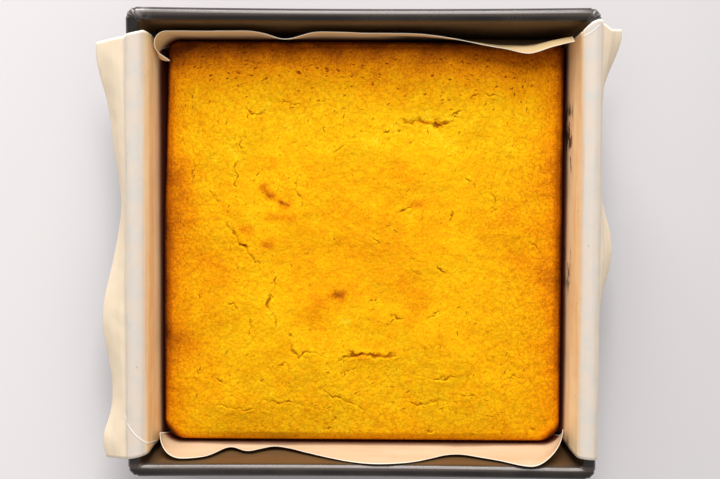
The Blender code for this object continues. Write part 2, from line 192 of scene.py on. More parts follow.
class Graph:
    """Node tree of one material, with a Principled shader as its surface."""

    def __init__(self, name: str) -> None:
        """Start an empty material of that name."""
        self.material = bpy.data.materials.new(name)
        self.material.use_nodes = True
        self.tree = self.material.node_tree
        self.tree.nodes.clear()
        self.place = self.node("ShaderNodeTexCoord", out="Object")

    def node(
        self, kind: str, settings: dict | None = None, inputs: dict | None = None, out: str | int = 0
    ) -> Wire:
        """Add a node.

        Args:
            kind: The node's type.
            settings: Its own settings, such as an operation, set first. Stops are a ramp's colours.
            inputs: Values or wires of its sockets, by name or number.
            out: Which output is wanted.

        Returns:
            The wanted output.
        """
        made = self.tree.nodes.new(kind)
        for key, value in (settings or {}).items():
            if key == "stops":
                self._set_stops(made.color_ramp, value)
            else:
                setattr(made, key, value)
        for key, value in (inputs or {}).items():
            socket = made.inputs[key]
            if isinstance(value, Wire):
                self.tree.links.new(value.socket, socket)
            else:
                socket.default_value = value
        return Wire(self, made.outputs[out])

    @staticmethod
    def _set_stops(ramp: bpy.types.ColorRamp, stops: tuple[tuple[float, Colour], ...]) -> None:
        """Give a ramp its stops.

        Args:
            ramp: The ramp, with fewer stops than are wanted.
            stops: Position and colour of each stop.
        """
        while len(ramp.elements) < len(stops):
            ramp.elements.new(1.0)
        for element, (position, tint) in zip(ramp.elements, stops):
            element.position = position
            element.color = tint

    def math(self, operation: str, first: Wire | float, second: Wire | float = 0.0) -> Wire:
        """Math node with one or two values."""
        return self.node("ShaderNodeMath", {"operation": operation}, {0: first, 1: second})

    def mix(self, share: Wire | float, first: Wire | Colour, second: Wire | Colour) -> Wire:
        """Colour that goes from the first to the second as share goes from 0 to 1."""
        return self.node("ShaderNodeMix", {"data_type": "RGBA"}, {0: share, 6: first, 7: second}, out=2)

    def axes(self, vector: Wire) -> tuple[Wire, Wire, Wire]:
        """X, Y and Z of a vector."""
        split = self.node("ShaderNodeSeparateXYZ", None, {0: vector}, out="X")
        return split, split.out("Y"), split.out("Z")

    def stretched(self, x: float, y: float, z: float, offset: Wire | None = None) -> Wire:
        """Object coordinates, stretched so that a pattern on them runs along an axis.

        Args:
            x: Factor on X; a small one draws the pattern out along X.
            y: Factor on Y.
            z: Factor on Z.
            offset: Vector that is added first.

        Returns:
            The coordinates.
        """
        place = self.place
        if offset is not None:
            place = self.node("ShaderNodeVectorMath", {"operation": "ADD"}, {0: place, 1: offset})
        return self.node("ShaderNodeVectorMath", {"operation": "MULTIPLY"}, {0: place, 1: (x, y, z)})

    def wobble(self, per_metre: float, amount: float) -> Wire:
        """Offset that makes straight patterns ragged.

        Args:
            per_metre: How often it wanders in a metre.
            amount: How far it wanders.

        Returns:
            The offset vector.
        """
        drawn = self.node(
            "ShaderNodeTexNoise", None, {"Vector": self.place, "Scale": per_metre, "Detail": 2.0}, out="Color"
        )
        centred = self.node("ShaderNodeVectorMath", {"operation": "SUBTRACT"}, {0: drawn, 1: (0.5, 0.5, 0.5)})
        return self.node("ShaderNodeVectorMath", {"operation": "SCALE"}, {0: centred, "Scale": 2.0 * amount})

    def noise(self, vector: Wire, scale: float, detail: float = 3.0, roughness: float = 0.5) -> Wire:
        """Noise value about one half, scale times a metre."""
        inputs = {"Vector": vector, "Scale": scale, "Detail": detail, "Roughness": roughness}
        return self.node("ShaderNodeTexNoise", None, inputs)

    def cells(self, vector: Wire, scale: float, out: str = "Distance") -> Wire:
        """Distance to the nearest of scattered points, or their random colour."""
        return self.node("ShaderNodeTexVoronoi", None, {"Vector": vector, "Scale": scale}, out=out)

    def attribute(self, name: str) -> Wire:
        """Value that the mesh holds under that name."""
        return self.node("ShaderNodeAttribute", {"attribute_name": name}, None, out="Fac")

    def bump(self, height: Wire, depth: float, strength: float) -> Wire:
        """Normal for a height from 0 to 1 that is worth depth metres."""
        return self.node("ShaderNodeBump", None, {"Height": height, "Distance": depth, "Strength": strength})

    def surface(self, **sockets: Wire | float | Colour) -> bpy.types.Material:
        """Close the graph with a Principled shader.

        Args:
            sockets: Values or wires of its sockets, with _ for a space.

        Returns:
            The finished material.
        """
        inputs = {name.replace("_", " "): value for name, value in sockets.items()}
        shader = self.node("ShaderNodeBsdfPrincipled", None, inputs)
        output = self.tree.nodes.new("ShaderNodeOutputMaterial")
        self.tree.links.new(shader.socket, output.inputs["Surface"])
        return self.material


def colour(red: int, green: int, blue: int) -> Colour:
    """Colour for a shader.

    Args:
        red: Red as a screen shows it, from 0 to 255.
        green: Green, likewise.
        blue: Blue, likewise.

    Returns:
        The colour with linear values from 0 to 1, wholly opaque.
    """
    linear = []
    for part in (red, green, blue):
        share = part / 255.0
        linear.append(share / 12.92 if share <= 0.04045 else ((share + 0.055) / 1.055) ** 2.4)
    return (*linear, 1.0)


@dataclass(frozen=True)
class NonStickCoating:
    """Dark satin coating on the pan: neutral on the rim, browned by use inside, scuffed pale and painted with
    glints at the corners.
    """

    rim: Colour = colour(30, 26, 24)
    inside: Colour = colour(128, 98, 66)
    inside_near: Colour = colour(106, 77, 45)
    wear_and_glint: Colour = colour(200, 194, 188)
    # Paler coat: the coat's own mottle, and the painted highlight along the beads.
    pale_mottle_and_highlight: Colour = colour(78, 68, 62)
    roughness: float = 0.25
    grain: float = 0.03 * MM

    def browned(self, graph: Graph, x: Wire, y: Wire) -> Wire:
        """Colour inside: the baked-on film, duller on the near wall, with painted shade darkening the near
        corners.

        Args:
            graph: The coating's graph.
            x: Object coordinate X.
            y: Object coordinate Y.

        Returns:
            The colour.
        """
        film = graph.mix(y.over(-60.0 * MM, 60.0 * MM), self.inside_near, self.inside)
        # Painted shade: the near corners darkened towards the rim's colour.
        near_corner_shade = abs(x).over(92.0 * MM, 102.0 * MM) * y.over(0.0, -80.0 * MM)
        return graph.mix(near_corner_shade * 0.55, film, self.rim)

    def painted_highlight_line(self, y: Wire) -> Wire:
        """Mask of the painted highlight line along the near and the far rim.

        Args:
            y: Object coordinate Y.

        Returns:
            The mask.
        """
        far = y.over(104.4 * MM, 105.8 * MM) * y.over(108.4 * MM, 106.8 * MM)
        near = y.over(-105.6 * MM, -104.7 * MM) * y.over(-102.6 * MM, -103.4 * MM)
        return far.most(near)

    def material(self, rim_top: float, rim_half: float) -> bpy.types.Material:
        """Build the coating.

        Args:
            rim_top: Height of the rim.
            rim_half: Distance from the middle to the rim's outer edge.

        Returns:
            The material.
        """
        graph = Graph("nonstick_coating")
        x, y, z = graph.axes(graph.place)
        cloud = graph.noise(graph.place, 45.0, 4.0)
        speck = graph.noise(graph.place, 1600.0, 3.0, 0.6)
        streak = graph.noise(graph.stretched(0.06, 1.0, 1.0), 420.0, 3.0)
        past_bead = abs(x).most(abs(y)).over(rim_half - 5.2 * MM, rim_half - 7.0 * MM)
        under_rim = z.over(rim_top - 0.5 * MM, rim_top - 3.5 * MM)
        inner = past_bead * under_rim * graph.attribute("inner").over(0.3, 0.7)
        coat = graph.mix(cloud.over(0.35, 0.70) * 0.35 + speck.over(0.60, 0.75) * 0.15, self.rim, self.pale_mottle_and_highlight)
        baked = (inner * (cloud * 0.4 + streak * 0.3 + 0.62)).clipped()
        base = graph.mix(baked, coat, self.browned(graph, x, y))
        # Painted highlight: a paler, streaked band along each bead where the lamps reflect.
        base = graph.mix(self.painted_highlight_line(y) * (streak * 0.8 + 0.5).clipped(), base, self.pale_mottle_and_highlight)
        # Pale arcs along the crimp ridges: scuffs, plus painted glints, stronger towards the far corners,
        # which face the light.
        wear_and_glint_mask = graph.attribute("wear_and_glint") * graph.noise(graph.place, 260.0, 3.0).over(0.34, 0.56)
        base = graph.mix(wear_and_glint_mask * y.over(-20.0 * MM, 60.0 * MM) * 0.6, base, self.wear_and_glint)
        return graph.surface(
            Base_Color=base,
            Metallic=0.20,
            Roughness=cloud * 0.10 + (self.roughness - 0.05) + speck * 0.03 + inner * 0.16,
            Normal=graph.bump(speck, self.grain, 0.35),
            Specular_IOR_Level=0.6,
        )


@dataclass(frozen=True)
class Fold:
    """Sharp crease pressed in the paper, from one place in plan to another, slightly bent."""

    start: Pair
    end: Pair
    width: float = 0.55 * MM
    bow: float = 0.06

    def mask(self, graph: Graph, x: Wire, y: Wire) -> Wire:
        """Mask of the crease.

        Args:
            graph: The paper's graph.
            x: Object coordinate X.
            y: Object coordinate Y.

        Returns:
            The mask, 1 along the crest of the crease.
        """
        dx, dy = self.end[0] - self.start[0], self.end[1] - self.start[1]
        length = math.hypot(dx, dy)
        along = ((x - self.start[0]) * dx + (y - self.start[1]) * dy) / length
        aside = ((x - self.start[0]) * dy - (y - self.start[1]) * dx) / length
        bend = graph.math("SINE", along * (math.pi / length)) * (self.bow * length)
        ends = along.over(-0.5 * MM, 1.0 * MM), along.over(length + 0.5 * MM, length - 1.0 * MM)
        return abs(aside - bend).over(self.width, 0.0) * ends[0] * ends[1]


@dataclass(frozen=True)
class BakingPaper:
    """Unbleached baking paper: grey-white on the rims, peach and tan in streaks where it lines the pan."""

    name: str
    dry: Colour
    warm: Colour
    damp: Colour
    edge: Colour
    across: bool
    rim_half: float
    scorch: float = 0.0
    folds: tuple[Fold, ...] = ()
    bread_top: float = BREAD_EDGE - 0.4 * MM
    peach: Colour = colour(246, 198, 148)
    toasted_and_shade: Colour = colour(140, 84, 42)
    gap_shade: Colour = colour(122, 17, 2)
    near_warm: Colour = colour(197, 170, 142)
    near_damp: Colour = colour(185, 156, 124)
    grease: Colour = colour(205, 207, 203)
    burnt: Colour = colour(58, 30, 18)
    shadow: Colour = colour(40, 22, 12)
    edge_highlight: Colour = colour(255, 244, 226)
    fleck: Colour = colour(132, 122, 110)
    crease_highlight: Colour = colour(255, 248, 238)
    relief: float = 0.16 * MM

    def above_bread(self, z: Wire, low: float, high: float) -> Wire:
        """Mask that goes from 0 to 1 between two heights in millimetres over the bread's edge."""
        return z.over(self.bread_top + low * MM, self.bread_top + high * MM)

    def near_tone(self, graph: Graph, base: Wire, tone: Wire, y: Wire) -> Wire:
        """Base with the duller tones that the paper has on the near wall mixed in."""
        near = graph.mix(tone, self.near_warm, self.near_damp)
        return graph.mix(y.over(30.0 * MM, -30.0 * MM) * 0.9, base, near)

    def burnt_bits(self, graph: Graph, inside: Wire, place: tuple[Wire, Wire, Wire]) -> Wire:
        """Mask of the burnt bits that cling to the right wall, just over the bread.

        Args:
            graph: The paper's graph.
            inside: Mask of the paper inside the rim.
            place: Object coordinates X, Y and Z.

        Returns:
            The mask.
        """
        x, y, z = place
        crisp = graph.noise(graph.stretched(0.7, 0.35, 1.0, graph.wobble(260.0, 1.5 * MM)), 190.0, 3.0, 0.6)
        patch = graph.noise(graph.stretched(0.0, 1.0, 0.0), 34.0, 1.0).over(0.50, 0.62)
        patch = (patch * 0.8).most(y.over(32.0 * MM, 38.0 * MM) * y.over(68.0 * MM, 62.0 * MM))
        charred = self.above_bread(z, 7.5, 2.5) * crisp.over(0.49, 0.56) * patch * inside
        return charred * x.over(0.0, 90.0 * MM) * self.scorch

    def flecks(self, graph: Graph) -> Wire:
        """Mask of the small dark flecks in the paper's pulp.

        Args:
            graph: The paper's graph.

        Returns:
            The mask.
        """
        dots = graph.cells(graph.stretched(1.0, 1.0, 1.0, graph.wobble(900.0, 0.3 * MM)), 240.0)
        chance = graph.axes(graph.cells(graph.place, 240.0, "Color"))[0]
        return dots.over(0.17, 0.08) * chance.over(0.90, 0.94) * 0.30

    def material(self) -> bpy.types.Material:
        """Build the paper.

        Returns:
            The material.
        """
        graph = Graph(self.name)
        x, y, z = graph.axes(graph.place)
        along = (1.0, 0.05, 1.0) if self.across else (0.05, 1.0, 1.0)
        streak = graph.noise(graph.stretched(*along, graph.wobble(22.0, 4.0 * MM)), 110.0, 4.0, 0.62)
        ruddy = graph.noise(graph.stretched(*along, graph.wobble(30.0, 3.0 * MM)), 75.0, 2.0, 0.5)
        mottle = graph.noise(graph.place, 120.0, 5.0, 0.65)
        fibre = graph.noise(graph.stretched(1.0, 0.55, 1.0, graph.wobble(400.0, 0.6 * MM)), 900.0, 4.0, 0.62)
        reach = abs(x) if self.across else abs(y)
        inside = reach.over(self.rim_half + 1.6 * MM, self.rim_half - 1.6 * MM)
        # Stripes along the strip: partly oil soaking, partly painted shade of the paper's ripples.
        tone = ((streak - 0.5) * 3.2 + (mottle - 0.5) * 0.7 + 0.5).clipped()
        lining = graph.mix(tone, self.warm, self.damp)
        lining = graph.mix(ruddy.over(0.52, 0.66) * 0.55, lining, self.peach)
        rim = graph.mix(mottle.over(0.40, 0.66) * 0.55, self.dry, self.grease)
        base = graph.mix(inside, rim, lining)
        flap = reach.over(self.rim_half + 6.5 * MM, self.rim_half + 12.0 * MM)
        base = graph.mix(flap * 0.9, base, self.edge)
        if not self.across:
            base = self.near_tone(graph, base, tone, y)
        # Beside the bread: toasted paper, partly painted shade of the narrow gap.
        base = graph.mix(self.above_bread(z, 1.0, -5.0) * inside * 0.75, base, self.toasted_and_shade)
        # Painted shade deep in the gap between the paper and the bread.
        base = graph.mix(self.above_bread(z, -1.5, -7.0) * inside * 0.85, base, self.gap_shade)
        if not self.across:
            behind = self.above_bread(z, 5.5, 2.0) * y.over(60.0 * MM, 80.0 * MM)
            base = graph.mix(behind * x.over(2.0 * MM, 22.0 * MM) * 0.85, base, self.shadow)
        if self.scorch > 0.0:
            base = graph.mix(self.burnt_bits(graph, inside, (x, y, z)), base, self.burnt)
        base = graph.mix(self.flecks(graph), base, self.fleck)
        height = fibre * 0.55 + mottle * 0.45
        # Painted highlight along each crease's crest; its bump is the crease's real relief.
        for fold in self.folds:
            crease = fold.mask(graph, x, y)
            base = graph.mix(crease * 0.85, base, self.crease_highlight)
            height = height + crease * 1.6
        # Painted highlight along the paper's cut edges.
        base = graph.mix(graph.attribute("edge_highlight").over(0.25, 0.75) * 0.85, base, self.edge_highlight)
        return graph.surface(
            Base_Color=base,
            Roughness=0.60 + fibre * 0.18,
            Normal=graph.bump(height, self.relief, 0.6),
            Specular_IOR_Level=0.28,
        )


@dataclass(frozen=True)
class Slits:
    """Short scattered slits in the crust, one to a cell in a share of the cells."""

    per_metre: float
    half_length: Wire | float
    half_width: Wire | float
    share: float

    def mask(self, graph: Graph, border: Wire, upright: Wire, warp: Wire) -> Wire:
        """Mask of the slits.

        Args:
            graph: The crust's graph.
            border: Mask of where they follow the loaf's border, and don't lie at random.
            upright: Mask of where that border runs along Y.
            warp: Offset that makes them ragged.

        Returns:
            The mask, 1 inside a slit.
        """
        place = graph.stretched(1.0, 1.0, 0.0, warp)
        inputs = {"Vector": place, "Scale": self.per_metre}
        cell = graph.node("ShaderNodeTexVoronoi", {"voronoi_dimensions": "2D"}, inputs, out="Position")
        offset = graph.node("ShaderNodeVectorMath", {"operation": "SUBTRACT"}, {0: place, 1: cell})
        along, over, _ = graph.axes(offset)
        chance, turn, scale = graph.axes(cell.out("Color"))
        followed = upright * 0.5 * math.pi + (turn - 0.5) * 0.7
        angle = (1.0 - border) * turn * math.pi + border * followed
        cosine, sine = graph.math("COSINE", angle), graph.math("SINE", angle)
        lengthwise = (along * cosine + over * sine) / self.half_length
        widthwise = (over * cosine - along * sine) / self.half_width
        reach = (lengthwise * lengthwise + widthwise * widthwise) ** 0.5
        drawn = chance.over(1.0 - self.share, 1.04 - self.share)
        return (reach / (scale * 0.7 + 0.45)).over(1.1, 0.45) * drawn


@dataclass(frozen=True)
class BakedCrust:
    """Golden cornbread crust: yellow to orange in patches, browned at the edges, partly as painted shade,
    with slits, grain and painted shade in the crevices.
    """

    pale: Colour = colour(255, 208, 34)
    yellow: Colour = colour(254, 198, 10)
    golden: Colour = colour(250, 172, 3)
    orange: Colour = colour(238, 145, 3)
    brown: Colour = colour(184, 99, 3)
    dark: Colour = colour(86, 37, 3)
    groove: Colour = colour(152, 76, 3)
    deep_groove: Colour = colour(124, 54, 3)
    roughness: float = 0.82
    relief: float = 0.34 * MM

    def browned(self, graph: Graph, tone: Wire) -> Wire:
        """Colour of the crust.

        Args:
            graph: The crust's graph.
            tone: How far it has browned, with painted shade added, from 0 for pale to 1 for dark.

        Returns:
            The colour.
        """
        stops = (
            (0.00, self.pale),
            (0.06, self.yellow),
            (0.32, self.golden),
            (0.54, self.orange),
            (0.78, self.brown),
            (1.00, self.dark),
        )
        return graph.node("ShaderNodeValToRGB", {"stops": stops}, {0: tone})

    def material(self, half_x: float, half_y: float) -> bpy.types.Material:
        """Build the crust.

        Args:
            half_x: Half-width of the bread along X.
            half_y: Half-width along Y.

        Returns:
            The material.
        """
        graph = Graph("baked_crust")
        x, y, _ = graph.axes(graph.place)
        ragged = graph.wobble(1100.0, 0.35 * MM)
        patch = graph.noise(graph.stretched(1.0, 1.0, 1.0, graph.wobble(140.0, 2.2 * MM)), 62.0, 4.0, 0.55)
        small = graph.noise(graph.stretched(1.0, 1.0, 1.0, ragged), 240.0, 4.0, 0.6)
        grain = graph.noise(graph.place, 1150.0, 4.0, 0.7)
        across, along = abs(x / half_x), abs(y / half_y)
        upright = (across - along).over(-0.08, 0.08)
        border = across.most(along).over(0.35, 0.9)
        lie = (border, upright, ragged)
        dense = graph.noise(graph.place, 33.0, 2.0).over(0.35, 0.62)
        torn = along.over(0.30, 0.62)
        far = (y / half_y).over(0.50, 0.84)
        large = Slits(130.0, 1.45 * MM, 0.36 * MM, 0.46).mask(graph, *lie)
        fine = Slits(240.0, far * 0.25 * MM + 0.80 * MM, far * 0.22 * MM + 0.26 * MM, 0.40).mask(graph, *lie)
        pores = Slits(520.0, 0.42 * MM, 0.22 * MM, 0.62).mask(graph, *lie)
        # Brown tone from the mesh, with the painted shade and highlights that it carries.
        baked = graph.attribute("browning_and_painted_light")
        calm = 1.0 - baked.over(0.45, 0.85) * 0.5
        pebble = graph.cells(graph.stretched(1.0, 1.0, 1.0, ragged), 560.0)
        # Painted shade in the crevices between the crumb's bumps.
        crevice_shade = pebble.over(0.40, 0.66) * (grain.over(0.40, 0.62) * 0.7 + 0.3)
        tone = baked + (patch - 0.5) * 0.44 + ((small - 0.5) * 0.46 + (grain - 0.5) * 0.80) * calm
        wrinkle_x = graph.noise(graph.stretched(0.22, 1.0, 1.0, ragged), 640.0, 3.0, 0.5)
        wrinkle_y = graph.noise(graph.stretched(1.0, 0.22, 1.0, ragged), 640.0, 3.0, 0.5)
        wrinkle = wrinkle_y * upright + wrinkle_x * (1.0 - upright)
        line = abs(wrinkle - 0.5).over(0.035, 0.0) * border
        cut = large * 0.80 * dense.most(torn * 0.9)
        cut = cut.most(fine * (far * 0.25 + 0.70) * (dense.most(torn) * 0.6 + 0.4)).most(pores * 0.36)
        cut = cut.most(graph.attribute("crack") * 0.95).most(crevice_shade * (border * 0.24 + 0.13))
        groove = graph.mix(far, self.groove, self.deep_groove)
        height = small * 0.45 + grain * 0.75 - pebble * 0.8
        height = height - large * 0.7 - fine * 0.5 - pores * 0.25 - line * 0.25
        return graph.surface(
            Base_Color=graph.mix(cut.most(line * 0.14), self.browned(graph, tone), groove),
            Roughness=self.roughness,
            Normal=graph.bump(height, self.relief, 0.60),
            Specular_IOR_Level=0.06,
        )


@dataclass
class Piece:
    """What every piece has: its name, the CAD node that it stands for and its material slot."""

    name: str
    node: str
    slot: str

    def shape(self) -> bmesh.types.BMesh:
        """Build the piece's mesh."""
        raise NotImplementedError

    def finish(self) -> bpy.types.Material:
        """Build the piece's material."""
        raise NotImplementedError

    def fit(self, made: bpy.types.Object) -> None:
        """Add what the mesh itself doesn't hold, such as modifiers."""

    def make(self) -> bpy.types.Object:
        """Build, dress and place the piece.

        Returns:
            The object, riding on the part's one body.
        """
        builder = self.shape()
        mesh = bpy.data.meshes.new(self.name)
        builder.to_mesh(mesh)
        builder.free()
        mesh.materials.append(self.finish())
        mesh.shade_smooth()
        made = bpy.data.objects.new(self.name, mesh)
        bpy.context.scene.collection.objects.link(made)
        self.fit(made)
        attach(made, "root")
        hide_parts(self.node)
        LOG.info("%s: %d faces", self.name, len(mesh.polygons))
        return made


@dataclass(frozen=True)
class Ring:
    """One ring round the pan, with the plan radius of its corners and how far, up to 1, they are crimped."""

    half: float
    height: float
    corner: float
    crimped: float = 0.0


@dataclass
class BakingPan(Piece):
    """Square pan of thin sheet, its rim rolled over a wire and crimped at the corners."""

    name: str = "baking_pan"
    node: str = "pan"
    slot: str = "pan_nonstick"
    sheet: float = 0.9 * MM
    rim_half: float = 109.3 * MM
    rim_top: float = RIM_TOP
    bead: float = 3.2 * MM
    bead_corner: float = 5.2 * MM
    rim_bow: float = 0.8 * MM
    floor_top: float = 1.0 * MM
    floor_half: float = 94.0 * MM
    floor_corner: float = 4.0 * MM
    rim_corner: float = 1.6 * MM
    wall_low: float = 3.0 * MM
    wall_high: float = 45.0 * MM
    wall_rings: int = 8
    side_steps: int = 30
    corner_steps: int = 20
    bead_steps: int = 26
    crimp: float = 0.40 * MM
    creases: tuple[Triple, ...] = ((0.25, 0.10, 1.0), (0.79, 0.12, 0.7), (1.33, 0.10, 1.0))
    ridges: tuple[Triple, ...] = ((0.02, 0.06, 0.8), (0.52, 0.08, 1.0), (1.06, 0.08, 0.8), (1.50, 0.05, 0.6))
    coating: NonStickCoating = field(default_factory=NonStickCoating)

    def wall_half(self, height: float) -> float:
        """Half-width of the inner wall.

        Args:
            height: Height at which it is wanted.

        Returns:
            The half-width.
        """
        bead_height = self.rim_top - self.bead
        inner_half = self.rim_half - 2.0 * self.bead
        return blend(self.floor_half, inner_half, (height - self.floor_top) / (bead_height - self.floor_top))

    def wall_corner(self, height: float) -> float:
        """Plan radius of the inner corner at a height."""
        return blend(self.floor_corner, self.rim_corner, height / self.rim_top)

    def bead_rings(self) -> list[Ring]:
        """Draw the rings round the rolled bead.

        Returns:
            The rings, from under its outer side over the top to the inner wall.
        """
        rings = []
        for step in range(self.bead_steps + 1):
            angle = math.radians(blend(-135.0, 180.0, step / self.bead_steps))
            half = self.rim_half - self.bead + self.bead * math.cos(angle)
            height = self.rim_top - self.bead + self.bead * math.sin(angle)
            corner = max(self.bead_corner - (self.rim_half - half), self.rim_corner)
            rings.append(Ring(half, height, corner, math.sin(math.pi * step / self.bead_steps)))
        return rings

    def section(self) -> list[Ring]:
        """Draw all rings of the pan.

        Returns:
            The rings, from its underside over the rim to its floor.
        """
        half, corner, sheet = self.floor_half, self.floor_corner, self.sheet
        rings = [
            Ring(half - 2.8 * MM, 0.0, corner),
            Ring(half - 1.6 * MM, 0.1 * MM, corner),
            Ring(half - 0.5 * MM, 0.5 * MM, corner),
            Ring(half + 0.5 * MM, 1.4 * MM, corner),
        ]
        for height in np.linspace(self.wall_low, self.wall_high, self.wall_rings):
            rings.append(Ring(self.wall_half(height) + sheet, height, self.wall_corner(height) + sheet))
        rings += self.bead_rings()
        for height in np.linspace(self.wall_high, self.wall_low + 2.0 * MM, self.wall_rings):
            rings.append(Ring(self.wall_half(height), height, self.wall_corner(height)))
        rings += [
            Ring(half - 0.1 * MM, 3.2 * MM, corner),
            Ring(half - 0.7 * MM, 1.9 * MM, corner),
            Ring(half - 1.8 * MM, 1.2 * MM, corner),
            Ring(half - 3.4 * MM, self.floor_top, corner),
        ]
        return rings

    def corner_angle(self, station: int) -> float:
        """How far round its corner a station is, from 0 to a quarter turn, or -1 along a side."""
        step = station % (self.side_steps + self.corner_steps) - self.side_steps
        return 0.5 * math.pi * step / self.corner_steps if step >= 0 else -1.0

    def ring_point(self, station: int, ring: Ring) -> Vector:
        """Point of one ring.

        Args:
            station: Number of the point round the ring, anticlockwise.
            ring: The ring.

        Returns:
            The point.
        """
        quarter, step = divmod(station, self.side_steps + self.corner_steps)
        straight = ring.half - ring.corner
        bow = self.rim_bow * ring.height / self.rim_top
        if step < self.side_steps:
            y = blend(-straight, straight, step / self.side_steps)
            x = ring.half - bow * (1.0 - (y / straight) ** 2)
        else:
            angle = self.corner_angle(station)
            radius = ring.corner - self.crimp * ring.crimped * bumps(angle, self.creases)
            x = straight + radius * math.cos(angle)
            y = straight + radius * math.sin(angle)
        return Matrix.Rotation(0.5 * math.pi * quarter, 3, "Z") @ Vector((x, y, ring.height))

    def shape(self) -> bmesh.types.BMesh:
        """Draw the ring of the underside up the wall, over the rim and down to the floor.

        Returns:
            The mesh, with how much scuffing and painted glint each place has, and whether it faces inwards.
        """
        stations = 4 * (self.side_steps + self.corner_steps)
        builder = bmesh.new()
        bmesh.ops.create_circle(builder, cap_ends=True, segments=stations, radius=self.floor_half)
        station = builder.verts.layers.int.new("station")
        wear_and_glint = builder.verts.layers.float.new("wear_and_glint")
        inner = builder.verts.layers.float.new("inner")
        rings = self.section()
        for number, vert in enumerate(sorted(builder.verts, key=lambda v: math.atan2(v.co.y, v.co.x))):
            vert[station] = number
            vert.co = self.ring_point(number, rings[0])
        border = list(builder.edges)
        over_rim = False
        for ring in rings[1:]:
            over_rim = over_rim or ring.height > self.rim_top - 0.05 * MM
            border = drawn_on(builder, border)
            for vert in {vert for edge in border for vert in edge.verts}:
                vert.co = self.ring_point(vert[station], ring)
                # Scuffing and painted glint along the crimp ridges.
                vert[wear_and_glint] = ring.crimped * bumps(self.corner_angle(vert[station]), self.ridges)
                vert[inner] = float(over_rim)
        bmesh.ops.contextual_create(builder, geom=border)
        bmesh.ops.recalc_face_normals(builder, faces=builder.faces)
        return builder

    def finish(self) -> bpy.types.Material:
        """The dark coating."""
        return self.coating.material(self.rim_top, self.rim_half)


@dataclass
class PaperStrip(Piece):
    """What both strips share: thickness, fine ripples and how a grid is bent."""

    slot: str = "baking_paper"
    thickness: float = 0.28 * MM
    ripple: float = 0.22 * MM
    columns: int = 260
    rows: int = 150

    @staticmethod
    def loose(index: float) -> float:
        """How free the paper is to ripple at a point of its path: 0 under the bread and 1 over it."""
        return smooth_step((index - 6.0) / 2.0)

    def point(self, u: float, v: float) -> Vector:
        """Point of the strip for u and v from -1 to 1."""
        raise NotImplementedError

    def shape(self) -> bmesh.types.BMesh:
        """Bend a flat grid into the strip.

        Returns:
            The mesh, with its cut edges marked as the hem.
        """
        builder = bmesh.new()
        bmesh.ops.create_grid(builder, x_segments=self.columns, y_segments=self.rows, size=1.0)
        edge_highlight = builder.verts.layers.float.new("edge_highlight")
        for vert in builder.verts:
            vert[edge_highlight] = float(vert.is_boundary)
            vert.co = self.point(vert.co.x, vert.co.y)
        return builder

    def fit(self, made: bpy.types.Object) -> None:
        """Give the sheet its thickness."""
        thicken = made.modifiers.new("thickness", "SOLIDIFY")
        thicken.thickness = self.thickness
        thicken.offset = 0.0


